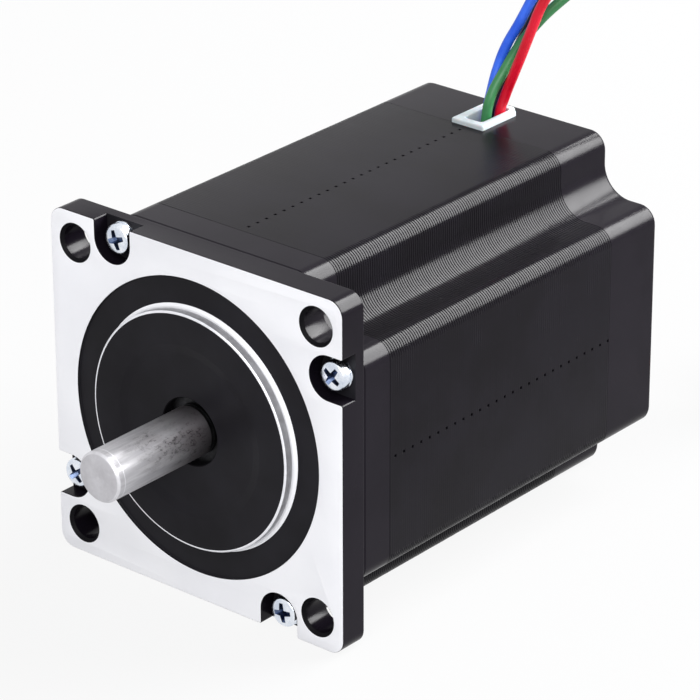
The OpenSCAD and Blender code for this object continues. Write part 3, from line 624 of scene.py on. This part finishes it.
def add_lead(colour):
    """One lead and its tinned end. Returns both, and the lead's exit point and length."""
    path = [lean(p) for p in ROUTES[colour] + coil_points(ROUTES[colour])]
    data = bpy.data.curves.new(colour + "_lead", "CURVE")
    data.dimensions = "3D"
    data.bevel_depth = LEAD_D / 2 * MM
    data.bevel_resolution = 5
    data.resolution_u = 6
    data.use_fill_caps = True
    spline = data.splines.new("BEZIER")
    spline.bezier_points.add(len(path) - 1)
    for point, place in zip(spline.bezier_points, path):
        point.co = place
        point.handle_left_type = point.handle_right_type = "AUTO"
    obj = bpy.data.objects.new(colour + "_lead", data)
    scene.collection.objects.link(obj)
    nodes = [colour + "_lead_run", colour + "_lead_coil"]
    dress(obj, colour + "_insulation", "housing", nodes, LEAD_COLOURS[colour])
    length = bezier_length(path)
    tip = strand_tip(colour + "_lead_end", path[-1], (path[-1] - path[-2]).normalized())
    dress(tip, "tinned_copper", "housing", [colour + "_lead_tip"], TINNED)
    return obj, tip, path[0], length


def bezier_length(path):
    """Length of the smooth line that automatic handles draw through the points."""
    handles = []
    for i, p in enumerate(path):
        before = p - path[i - 1] if i else path[1] - p
        after = path[i + 1] - p if i + 1 < len(path) else p - path[i - 1]
        lean_to = before.normalized() + after.normalized()
        unit = lean_to / (lean_to.length * AUTO_HANDLE)
        handles.append((p - unit * before.length, p + unit * after.length))
    total = 0.0
    for i in range(len(path) - 1):
        last = path[i]
        for k in range(1, 13):
            t = k / 12
            a, b, c, d = path[i], handles[i][1], handles[i + 1][0], path[i + 1]
            here = a * (1 - t) ** 3 + b * (3 * t * (1 - t) ** 2) + c * (3 * t * t * (1 - t)) + d * t ** 3
            total += (here - last).length
            last = here
    return total


def coil_tie():
    """A strap round the four coils, with its head outside them."""
    a, b, _ = ROUTES["red"][-1]
    ca, cb = a + COIL_R, b + LEAD_D
    # the strap crosses the innermost turn a quarter turn before the spiral's end
    near = COIL_R - COIL_PITCH * (COIL_TURNS - 0.25) - LEAD_D / 2 - TIE_SLACK
    far = COIL_R + LEAD_D / 2
    low = ROUTES["red"][-1][2] - LEAD_D / 2 - TIE_GAP
    high = ROUTES["black"][-1][2] + LEAD_D / 2 + TIE_GAP
    inner = [(near + x, low + z) for x, z in rounded(far - near, high - low, TIE_CORNER, 4)]
    points, faces = [], []
    count = len(inner)
    outer = offset(inner, -TIE_T)
    low_edge, high_edge = offset(inner, -TIE_EDGE), offset(inner, -TIE_T + TIE_EDGE)
    half = TIE_W / 2
    profile = [(inner, -half), (low_edge, -half), (high_edge, -half), (outer, -half + TIE_EDGE),
               (outer, half - TIE_EDGE), (high_edge, half), (low_edge, half), (inner, half)]
    for loop, across in profile:
        points += [lean((ca + across, cb + r, z)) for r, z in loop]
    for k in range(len(profile)):
        m = (k + 1) % len(profile)
        for i in range(count):
            j = (i + 1) % count
            faces.append((k * count + i, k * count + j, m * count + j, m * count + i))
    strap = solid("coil_tie_strap", points, faces)
    head = bmesh.new()
    bmesh.ops.create_cube(head, size=1)
    size = Vector((TIE_HEAD_W, TIE_HEAD_D, (high - low) / 3)) * MM
    bmesh.ops.scale(head, vec=size, verts=head.verts)
    bmesh.ops.bevel(head, geom=head.edges, offset=TIE_HEAD_EDGE * MM, segments=3, affect="EDGES",
                    profile=0.5)
    place = lean((ca, cb + far + TIE_HEAD_OUT, (low + high) / 2))
    head.transform(Matrix.Translation(place) @ Matrix.Rotation(LEAD_TURN, 4, "Z"))
    extra = bpy.data.meshes.new("tie_head")
    head.to_mesh(extra)
    head.free()
    bm = bmesh.new()
    bm.from_mesh(strap.data)
    bm.from_mesh(extra)
    bm.to_mesh(strap.data)
    bm.free()
    shade(strap.data, SHARP)
    bpy.data.meshes.remove(extra)
    dress(strap, "white_nylon", "housing", ["coil_tie"], TIE)
    return strap


def rounded(w, h, r, n):
    """A rounded rectangle from (0, 0) to (w, h), clockwise from its lower left."""
    return (arc(r, r, r, 270, 180, n) + arc(r, h - r, r, 180, 90, n)
            + arc(w - r, h - r, r, 90, 0, n) + arc(w - r, r, r, 0, -90, n))


tie = coil_tie()
for colour in ("red", "green", "blue", "black"):
    lead, end, exit_point, lead_length = add_lead(colour)


# body outlines
def section(cut=0.0):
    """Outline shared by the caps and the sheets, clockwise from the middle of the top.

    Each side's middle has the points that a sheet's mark needs.
    """
    lobe, half, f = LOBE - cut, HALF - cut, LOBE_FILLET
    side = [(0.0, half), (MARK_HALF, half), (MARK_WALL, half), (MARK_SUPPORT, half)]
    side += arc(lobe - f, half - f, f, 90, 0, 8)
    side += arc(HOLE_AT, HOLE_AT, NOTCH_R + cut, 180, 270, 14)
    side += arc(half - f, lobe - f, f, 90, 0, 8)
    side += [(half, MARK_SUPPORT), (half, MARK_WALL), (half, MARK_HALF)]
    return four_times(side)


def flange_outline():
    """The square flange with its four open screw pockets, and the pockets' index ranges."""
    corner = arc(-HALF + FLANGE_R, HALF - FLANGE_R, FLANGE_R, 180, 90, 10)
    near, far, e = -SCREW_X - POCKET_R, -SCREW_X + POCKET_R, POCKET_EDGE
    pocket = arc(near - e, HALF - e, e, 90, 0, 4)
    pocket += arc(-SCREW_X, SCREW_Z, POCKET_R, 180, 360, 28)
    pocket += arc(far + e, HALF - e, e, 180, 90, 4)
    side = corner + pocket
    ranges = [(k * len(side) + len(corner), (k + 1) * len(side)) for k in range(4)]
    return four_times(side), ranges


HOLES = [(x, z) for x in (-HOLE_AT, HOLE_AT) for z in (-HOLE_AT, HOLE_AT)]
SCREWS = [(-SCREW_X, SCREW_Z), (SCREW_Z, SCREW_X), (SCREW_X, -SCREW_Z), (-SCREW_Z, -SCREW_X)]

# the front cap's materials, by number
CAP_PAINT, CAP_FACE, CAP_DARK, CAP_RIM, CAP_WALL, CAP_BLACK = range(6)
CAP_MATERIALS = (PAINT, FACE, DARK_PAINT, PILOT_EDGE, PILOT_WALL_SHADED, SLOT_BLACK)


def mounting_hole(s, centre):
    """A through hole with its chamfer. Returns its ring in the face and its ring in the back."""
    profile = [(HOLE_R + HOLE_CHAMFER + i, d) for i, d in rounding(HOLE_EDGE)]
    profile += [(HOLE_R + out, HOLE_CHAMFER + down) for out, down in HOLE_BEND]
    profile += [(HOLE_R + i, FLANGE_T - d) for i, d in reversed(rounding(HOLE_BACK_EDGE))]
    return s.lathe(profile, 64, [CAP_BLACK] * 5 + [CAP_PAINT] * 4, centre)


def cap_middle():
    """The front cap's round middle, from the machined face inwards to the cavity.

    Returns (r, y) points, and for each the material of the wall from it to the next.
    """
    edge = [(RING_R + i, d) for i, d in rounding(RING_EDGE)]
    foot = [(PILOT_R + PILOT_FILLET * (1 - math.sin(t)), RING_DEPTH - PILOT_FILLET * (1 - math.cos(t)))
            for t in (math.pi / 12 * i for i in range(7))]
    rim_r, dish_y = PILOT_R - PILOT_CHAMFER, DISH_DEPTH - PILOT_H
    seat_end = SEAT_Y + SEAT_W
    zones = (
        (CAP_FACE, edge[:1]),
        (CAP_DARK, edge[1:] + [(RING_R, RING_DEPTH - RING_FOOT), (RING_R - RING_FOOT, RING_DEPTH)]),
        (CAP_FACE, foot[:-1]),
        # the pilot's wall takes the turned metal painted darker as shade
        (CAP_WALL, foot[-1:]),
        (CAP_RIM, [(PILOT_R, PILOT_CHAMFER - PILOT_H), (rim_r, -PILOT_H)]),
        (CAP_DARK, [(rim_r - RIM_W, -PILOT_H), (DISH_R + DISH_EDGE, -PILOT_H),
                    (DISH_R - DISH_EDGE, -PILOT_H + DISH_EASE),
                    (DISH_R - DISH_SLOPE_W, dish_y - DISH_EASE), (DISH_R - DISH_FLOOR_IN, dish_y)]),
        (CAP_BLACK, [(NOSE_R + NOSE_EDGE, dish_y), (NOSE_R, dish_y + NOSE_EDGE), (NOSE_R, SEAT_Y),
                     (SEAT_R, SEAT_Y), (SEAT_R, seat_end), (BOSS_R, seat_end), (BOSS_R, FRONT_CAVITY_Y),
                     (CAVITY_R, FRONT_CAVITY_Y), (CAVITY_R, FRONT_LEN)]),
    )
    profile = [point for _, points in zones for point in points]
    return profile, [number for number, points in zones for _ in points]


def front_cap():
    """The flange with its holes and screw pockets, the pilot, and the cap's body behind them."""
    s = Shell()
    outline, pockets = flange_outline()
    # flange: rounded front edge, wall to the pocket floors
    rings = [s.ring(offset(outline, inset), depth) for inset, depth in rounding(FLANGE_EDGE)]
    s.wall(rings[0], rings[1], CAP_FACE)
    s.tube(rings[1:])
    shoulder = s.ring(outline, 2 * FLANGE_EDGE)
    s.wall(rings[-1], shoulder)
    floor = s.ring(outline, POCKET_DEPTH)
    s.wall(shoulder, floor)
    # plain outline behind the pockets
    inside = {i for lo, hi in pockets for i in range(lo + 1, hi - 1)}
    keep = [i for i in range(len(outline)) if i not in inside]
    plain = [outline[i] for i in keep]
    behind = [floor[i] for i in keep]
    for inset, depth in [(0, 2 * FLANGE_EDGE)] + rounding(FLANGE_EDGE)[::-1]:
        ring = s.ring(offset(plain, inset), FLANGE_T - depth)
        s.wall(behind, ring)
        behind = ring
    holes = [mounting_hole(s, centre) for centre in HOLES]
    profile, numbers = cap_middle()
    first, last = s.lathe(profile, 160, numbers)
    s.fill([rings[0]] + [hole[0] for hole in holes] + [first], CAP_FACE)
    # pocket floors, with the screw holes through to the back of the cap
    screw_ends = []
    for (lo, hi), centre in zip(pockets, SCREWS):
        a, b = s.lathe([(SCREW_HOLE_R, POCKET_DEPTH), (SCREW_HOLE_R, FRONT_LEN)], 24, centre=centre)
        s.fill([[floor[i] for i in range(lo, hi)], a], CAP_DARK)
        screw_ends.append(b)
    # seam, then the cap's body
    seam_end = FLANGE_T + SEAM_W
    body = [s.ring(section(cut), y) for cut, y in (
        (SEAM_DEPTH, FLANGE_T), (SEAM_DEPTH, FLANGE_T + SEAM_FLAT),
        (0.0, seam_end), (0.0, seam_end + SEAM_SUPPORT),
        (0.0, FRONT_LEN - EDGE_SUPPORT), (0.0, FRONT_LEN - CAP_EDGE), (CAP_EDGE, FRONT_LEN))]
    s.fill([behind] + [hole[1] for hole in holes] + [body[0]])
    s.tube(body)
    s.fill([body[-1]] + screw_ends + [last])
    dress(s.build("front_cap_shell"), "black_paint", "housing", ["front_cap"], *CAP_MATERIALS)


def stack():
    """The sheets, whose edges stand a hair proud of the seams.

    Each sheet has a stamped mark on one of its four sides.
    """
    s = Shell()
    rng = random.Random(7)
    base = section(0.0)
    quarter = len(base) // 4
    inset = offset(base, 1.0)
    curved = [max(abs(x), abs(z)) < HALF - 0.005 for x, z in base]

    def sunk(flat, bend):
        """The outline moved inwards: a little on the flats, more on the fillets and in the notches."""
        depth = [bend if c else flat for c in curved]
        return [(x + (u - x) * d, z + (w - z) * d) for (x, z), (u, w), d in zip(base, inset, depth)]

    seam = sunk(SHEET_SEAM_FLAT, SHEET_SEAM_BEND)
    previous = None
    for k in range(SHEETS):
        y = FRONT_LEN + SHEET_T * k
        outline = sunk(rng.uniform(0.0, SHEET_UNEVEN_FLAT), rng.uniform(0.0, SHEET_UNEVEN_BEND))
        # the mark, a quarter turn back for each sheet
        middle = (3 - k) % 4 * quarter
        for step in (-1, 0, 1):
            i = (middle + step) % len(base)
            x, z = outline[i]
            if abs(z) >= abs(x):
                outline[i] = (x, z - math.copysign(MARK_DEPTH, z))
            else:
                outline[i] = (x - math.copysign(MARK_DEPTH, x), z)
        rings = [s.ring(seam, y), s.ring(outline, y + SEAM_HALF), s.ring(outline, y + SHEET_T - SEAM_HALF)]
        if previous:
            s.wall(previous, rings[0])
        s.tube(rings)
        for step in (-2, -1, 0, 1):
            s.slots[len(s.slots) - len(base) + (middle + step) % len(base)] = 1
        previous = rings[2]
    end = s.ring(seam, STACK_END)
    s.wall(previous, end)
    inner = [s.ring(pole_outline(), y) for y in (FRONT_LEN, STACK_END)]
    s.wall(*inner)
    holes = [s.lathe([(SCREW_HOLE_R, FRONT_LEN), (SCREW_HOLE_R, STACK_END)], 24, centre=c) for c in SCREWS]
    s.fill([list(range(len(seam))), inner[0]] + [h[0] for h in holes])
    s.fill([end, inner[1]] + [h[1] for h in holes])
    obj = s.build("stack_sheets", STACK_SHARP)
    dress(obj, "laminations", "housing", ["stator_stack"], STACK, SLOT_BLACK)


def polar(r, degrees):
    """A point at radius r, turned clockwise from the top."""
    a = math.radians(degrees)
    return r * math.sin(a), r * math.cos(a)


def pole_outline():
    """Inside of the stack: eight poles with six teeth each, and the winding slots between them."""
    half_neck, neck_top = NECK_W / 2, SHOE_R + NECK_RISE
    neck_turn, step = math.degrees(math.asin(half_neck / SLOT_R)), 360 / POLES
    tooth = [(ROOT_R, -TOOTH_HALF), (BORE_R, -TOOTH_HALF), (BORE_R, TOOTH_HALF), (ROOT_R, TOOTH_HALF)]
    middle = (TEETH - 1) / 2
    teeth = [polar(r, (i - middle) * TOOTH_STEP + a) for i in range(TEETH) for r, a in tooth][1:-1]
    pole = [(-half_neck, neck_top), polar(SHOE_R, -SHOE_HALF)] + teeth
    pole += [polar(SHOE_R, SHOE_HALF), (half_neck, neck_top)]
    pole += [polar(SLOT_R, neck_turn + (step - 2 * neck_turn) * i / 10) for i in range(11)]
    out = []
    for k in range(POLES):
        c, q = math.cos(math.radians(step * k)), math.sin(math.radians(step * k))
        out += [(x * c + z * q, z * c - x * q) for x, z in pole]
    return out


def rear_cap():
    """The cap behind the stack, hollow, with its tapped holes and the grommet's slot."""
    s = Shell()
    edge = BACK_HOLE_EDGE
    rings = [s.ring(section(cut), y) for cut, y in (
        (CAP_EDGE, STACK_END), (0.0, STACK_END + CAP_EDGE), (0.0, STACK_END + EDGE_SUPPORT),
        (0.0, BODY_END - BACK_SUPPORT), (0.0, BODY_END - BACK_EDGE),
        *((cut, BODY_END - rest) for cut, rest in BACK_CHAMFER))]
    s.tube(rings)
    inside = [(CAVITY_R, STACK_END), (CAVITY_R, REAR_CAVITY_Y), (BOSS_R, REAR_CAVITY_Y),
              (BOSS_R, REAR_BEARING_Y), (SEAT_R, REAR_BEARING_Y), (SEAT_R, REAR_SEAT_Y),
              (NOSE_R, REAR_SEAT_Y), (NOSE_R, BODY_END - edge), (NOSE_R + edge, BODY_END),
              (SEAT_R - BACK_STEP_EDGE, BODY_END), (SEAT_R, BODY_END - DISH_DEPTH),
              (DISH_R, BODY_END - DISH_DEPTH), (DISH_R + BACK_STEP_EDGE, BODY_END)]
    front, back = s.lathe(inside)
    hole = [(TAPPED_R, STACK_END), (TAPPED_R, BODY_END - edge), (TAPPED_R + edge, BODY_END)]
    tapped = [s.lathe(hole, 24, centre=centre) for centre in SCREWS]
    s.fill([rings[0]] + [t[0] for t in tapped] + [front])
    s.fill([rings[-1]] + [t[1] for t in tapped] + [back])
    obj = s.build("rear_cap_shell")
    # slot that holds the grommet
    cutter = Shell()
    low, high = (level(cutter, grommet_outline(GROMMET_GAP), z) for z in (SLOT_LOW, SLOT_TOP))
    cutter.wall(low, high)
    cutter.face(tuple(low))
    cutter.face(tuple(high))
    cut_out(obj, cutter.build("slot_cutter"))
    obj.data.set_sharp_from_angle(angle=math.radians(SHARP))
    dress(obj, "black_paint", "housing", ["rear_cap"], PAINT)


def level(s, outline, z):
    """A ring of (x, y) points at the height z."""
    ring = s.ring(outline, 0)
    for i, (x, y) in zip(ring, outline):
        s.points[i] = (x * MM, y * MM, z * MM)
    return ring


def grommet_outline(grow):
    """The grommet from above, straight against the stack and with cut corners at the back."""
    w, front, back = GROMMET_HALF + grow, STACK_END - grow, STACK_END + GROMMET_LEN + grow
    c = GROMMET_CORNER
    return [(-w, front), (-w, back - c), (c - w, back), (w - c, back), (w, back - c), (w, front)]


def grommet():
    """The pale frame that the leads come through, with a rounded rim and opening."""
    s = Shell()
    body = soften(grommet_outline(-GROMMET_GAP), GROMMET_SIDE_EDGE)
    (near, far), w, top = OPENING_Y, OPENING_HALF, GROMMET_TOP
    hole = soften([(-w, near), (-w, far), (w, far), (w, near)], OPENING_SIDE_EDGE)
    outer = [level(s, body, GROMMET_LOW)]
    outer += [level(s, offset(body, i), top - d) for i, d in reversed(rounding(GROMMET_TOP_EDGE))]
    inner = [level(s, offset(hole, -i), top - d) for i, d in rounding(OPENING_TOP_EDGE)]
    inner.append(level(s, hole, GROMMET_LOW))
    s.tube(outer)
    s.tube(inner)
    for a, b in ((outer[-1], inner[0]), (outer[0], inner[-1])):
        flat = a + b
        lines = [[Vector(s.points[i]) for i in loop] for loop in (a, b)]
        for tri in tessellate_polygon(lines):
            s.face(tuple(flat[i] for i in tri))
    dress(s.build("grommet_frame"), "pale_plastic", "housing", ["grommet"], GROMMET)


def soften(outline, r, n=4):
    """Rounds each corner of a closed outline."""
    out = []
    count = len(outline)
    for i in range(count):
        p = Vector(outline[i])
        a, b = Vector(outline[i - 1]) - p, Vector(outline[(i + 1) % count]) - p
        a.normalize()
        b.normalize()
        half = math.acos(max(-1, min(1, a.dot(b)))) / 2
        back = r / math.tan(half)
        centre = p + (a + b).normalized() * (r / math.sin(half))
        start, end = p + a * back - centre, p + b * back - centre
        for k in range(n + 1):
            q = start.lerp(end, k / n).normalized() * r
            out.append(tuple(centre + q))
    return out


def shaft():
    """The shaft, faced and chamfered at its tip, with the seat of the rotor behind."""
    s = Shell()
    r, tip, end, e = SHAFT_R, -SHAFT_OUT, SHAFT_END_Y, SHAFT_BACK_CHAMFER
    grooved, (groove_start, groove_end) = r - SHAFT_GROOVE_DEPTH, SHAFT_GROOVE_Y
    seat_start, seat_end = ROTOR_SEAT_Y
    profile = [(x, tip + down) for x, down in TIP_DIMPLE]
    profile += [(r - x, tip + down) for x, down in TIP_CHAMFER]
    profile += [(r, groove_start), (grooved, groove_start), (grooved, groove_end), (r, groove_end),
                (r, seat_start), (ROTOR_SEAT_R, seat_start), (ROTOR_SEAT_R, seat_end), (r, seat_end),
                (r, end - e), (r - e, end), (0.05, end)]
    # the shaft inside the cap takes the steel painted dark as shade
    ground, faced, painted_dark, rim = range(4)
    numbers = [faced] * 4 + [rim] * 2 + [ground] * 2 + [painted_dark] * 10
    first, last = s.lathe(profile, 96, numbers)
    s.face(tuple(first), faced)
    s.face(tuple(last), painted_dark)
    obj = s.build("shaft_ground", SHAFT_SHARP)
    dress(obj, "ground_steel", "rotor", ["shaft"], SHAFT, SHAFT_END, PAINTED_DARK_STEEL, SHAFT_RIM_HIGHLIGHT)


def screw_blank(centre, top, name):
    """A pan head, domed from its top, on a plain shank."""
    s = Shell()
    dome = [DOME_EDGE_R * i / 6 for i in range(1, 7)]
    profile = [(0.02, top)] + [(r, top + DOME_R - math.sqrt(DOME_R * DOME_R - r * r)) for r in dome]
    edge_y = profile[-1][1]
    profile += [(r, edge_y + down) for r, down in HEAD_BEND]
    profile += [(HEAD_R, HEAD_Y - HEAD_BACK_EDGE), (HEAD_R - HEAD_BACK_EDGE, HEAD_Y), (SCREW_R, HEAD_Y),
                (SCREW_R, SCREW_END - SCREW_CHAMFER_LEN), (SCREW_R - SCREW_CHAMFER, SCREW_END),
                (0.02, SCREW_END)]
    first, last = s.lathe(profile, 48, centre=centre)
    s.face(tuple(first))
    s.face(tuple(last))
    return s.build(name)


def screws():
    """The case screws, with a cross cut into each head and the cut's walls painted darker as shade."""
    parts = []
    top = HEAD_Y - HEAD_H
    for k, centre in enumerate(SCREWS):
        obj = screw_blank(centre, top, "screw_blank_%d" % k)
        cut_out(obj, cross_cutter(centre, top, math.radians(SCREW_TURNS[k])))
        # the cross's walls and floor take the zinc painted darker as shade
        for face in obj.data.polygons:
            off = math.hypot(face.center.x / MM - centre[0], face.center.z / MM - centre[1])
            depth = face.center.y / MM - top
            steep = abs(face.normal.y) < 0.8
            if off < CROSS_R and depth < CROSS_DEPTH + 0.05 and (steep or depth > 1):
                face.material_index = 1
        parts.append(obj)
    joined = join(parts, "case_screw_set", SCREW_SHARP)
    dress(joined, "bright_zinc", "housing", ["case_screws"], ZINC, RECESS_SHADE)


def cross_cutter(centre, top, turn):
    """A four-armed tapered plug, as a driver's tip.

    At each level wide is an arm's reach and thick is half its width at the root.
    """
    s = Shell()

    def cross(wide, thick):
        end = thick * 0.75
        out = four_times([(-thick, thick), (-end, wide), (end, wide)])
        c, q = math.cos(turn), math.sin(turn)
        return [(centre[0] + x * c - z * q, centre[1] + x * q + z * c) for x, z in out]

    rings = [s.ring(cross(wide, thick), top + down) for wide, thick, down in CROSS_LEVELS]
    s.tube(rings)
    s.face(tuple(rings[0]))
    s.face(tuple(rings[-1]))
    return s.build("cross_cutter")


def join(objects, name, sharp):
    """One object in place of several."""
    bm = bmesh.new()
    for obj in objects:
        bm.from_mesh(obj.data)
        bpy.data.objects.remove(obj)
    mesh = bpy.data.meshes.new(name)
    bm.to_mesh(mesh)
    bm.free()
    return add_mesh(mesh, sharp)


def washers():
    """Split washers: square wire bent nearly round, its ends a little apart."""
    points, faces = [], []
    inner, outer, thick, corner = WASHER_BORE_R, WASHER_R, WASHER_T, WASHER_CORNER
    steps = 44
    shape = [(inner + corner, 0), (outer - corner, 0), (outer, corner), (outer, thick - corner),
             (outer - corner, thick), (inner + corner, thick), (inner, thick - corner), (inner, corner)]
    for k, (cx, cz) in enumerate(SCREWS):
        start = math.radians(WASHER_STARTS[k])
        first = len(points)
        for i in range(steps + 1):
            turn = WASHER_TURN * i / steps
            t = start + turn
            gap = WASHER_LIFT * max(0.0, 1 - min(turn, WASHER_TURN - turn) / WASHER_LIFT_REACH)
            for r, h in shape:
                y = HEAD_Y + max(h, gap if h < thick / 2 else h)
                points.append(((cx + r * math.sin(t)) * MM, y * MM, (cz + r * math.cos(t)) * MM))
        faces += tube_faces(first, steps, len(shape))
    dress(solid("lock_washer_set", points, faces), "bright_zinc", "housing", ["lock_washers"], ZINC)


front_cap()
stack()
rear_cap()
grommet()
shaft()
screws()
washers()

# CAD nodes that stay, with better materials
KEPT = {
    INSULATOR: ["front_insulator", "rear_insulator"],
    COPPER: ["winding_%d" % i for i in range(1, 9)],
    DULL_STEEL: ["rotor_cup_%d" % i for i in range(1, 5)] + ["front_sleeve", "rear_sleeve", "wave_washer"],
    MAGNET: ["rotor_magnet_1", "rotor_magnet_2"],
    BRASS: ["rotor_spacer", "terminal_pins", "front_bearing_cage", "rear_bearing_cage"],
    STEEL: ["%s_bearing_%s" % (side, part) for side in ("front", "rear")
            for part in ("outer_ring", "balls")],
    # inner rings and shields take steel painted dark, as shade deep in the nose hole
    PAINTED_DARK_STEEL: ["%s_bearing_%s" % (side, part) for side in ("front", "rear")
                  for part in ("inner_ring", "shields")],
    BOARD: ["terminal_board"],
}
for mat, names in KEPT.items():
    for name in names:
        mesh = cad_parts[name].data
        mesh.materials.clear()
        mesh.materials.append(mat)


# floor, world and lights
FLOOR_COLOUR, FLOOR_WHITE = (0.3, 0.3, 0.305, 1), 0.9
SKY_COLOUR, SKY_STRENGTH = (0.95, 0.97, 1.0, 1), 0.45


def backdrop_share(tree, share=1.0):
    """The share of white for rays from the camera and for mirrored and transmitted rays, else 0."""
    path = tree.nodes.new("ShaderNodeLightPath")
    value = path.outputs["Is Camera Ray"]
    for other in ("Is Glossy Ray", "Is Transmission Ray"):
        most = tree.nodes.new("ShaderNodeMath")
        most.operation = "MAXIMUM"
        tree.links.new(value, most.inputs[0])
        tree.links.new(path.outputs[other], most.inputs[1])
        value = most.outputs[0]
    part = tree.nodes.new("ShaderNodeMath")
    part.operation = "MULTIPLY"
    part.inputs[1].default_value = share
    tree.links.new(value, part.inputs[0])
    return part.outputs[0]


def mixed(tree, share, ordinary, white, output):
    """Joins the ordinary shader and the white one, by the share of white."""
    mix = tree.nodes.new("ShaderNodeMixShader")
    tree.links.new(share, mix.inputs[0])
    tree.links.new(ordinary.outputs[0], mix.inputs[1])
    tree.links.new(white.outputs[0], mix.inputs[2])
    tree.links.new(mix.outputs[0], output.inputs["Surface"])


def add_floor():
    """A wide floor that the camera sees as nearly white, and that bounces light as matt grey."""
    mesh = bpy.data.meshes.new("floor")
    r, z = FLOOR_REACH, FLOOR_Z * MM
    mesh.from_pydata([(-r, -r, z), (r, -r, z), (r, r, z), (-r, r, z)], [], [(0, 1, 2, 3)])
    floor = bpy.data.objects.new("floor", mesh)
    scene.collection.objects.link(floor)
    mat = bpy.data.materials.new("floor")
    mat.use_nodes = True
    tree = mat.node_tree
    tree.nodes.clear()
    matt = tree.nodes.new("ShaderNodeBsdfDiffuse")
    matt.inputs["Color"].default_value = FLOOR_COLOUR
    white = tree.nodes.new("ShaderNodeEmission")
    white.inputs["Strength"].default_value = 1.0
    share = backdrop_share(tree, FLOOR_WHITE)
    mixed(tree, share, matt, white, tree.nodes.new("ShaderNodeOutputMaterial"))
    mesh.materials.append(mat)


def add_world():
    """A soft pale sky as a light, which the camera sees as white."""
    world = bpy.data.worlds.new("world")
    scene.world = world
    world.use_nodes = True
    tree = world.node_tree
    tree.nodes.clear()
    soft = tree.nodes.new("ShaderNodeBackground")
    soft.inputs["Color"].default_value = SKY_COLOUR
    soft.inputs["Strength"].default_value = SKY_STRENGTH
    white = tree.nodes.new("ShaderNodeBackground")
    white.inputs["Color"].default_value = (1, 1, 1, 1)
    white.inputs["Strength"].default_value = 1.0
    mixed(tree, backdrop_share(tree), soft, white, tree.nodes.new("ShaderNodeOutputWorld"))


def add_softbox(name, direction, distance, wide, tall, radiance, along=(0, 0, 1)):
    """A rectangular lamp that faces the motor; wide runs across `along`, tall along it."""
    back = Vector(direction).normalized()
    across = Vector(along).cross(back).normalized()
    up = back.cross(across)
    data = bpy.data.lights.new(name, "AREA")
    data.shape, data.size, data.size_y = "RECTANGLE", wide, tall
    data.energy = radiance * math.pi * wide * tall
    lamp = bpy.data.objects.new(name, data)
    scene.collection.objects.link(lamp)
    turn = Matrix((across, up, back)).transposed().to_4x4()
    lamp.matrix_world = Matrix.Translation(Vector(LIT_POINT) + back * distance) @ turn


add_floor()
add_world()
add_softbox("back_softbox", (0.42, 0.70, 0.58), distance=0.9, wide=0.34, tall=0.95, radiance=32.0,
            along=(0.858, 0, -0.514))
add_softbox("front_softbox", (0.47, -0.68, 0.56), distance=1.6, wide=1.3, tall=1.3, radiance=4.8)
scene.view_settings.view_transform = "Standard"
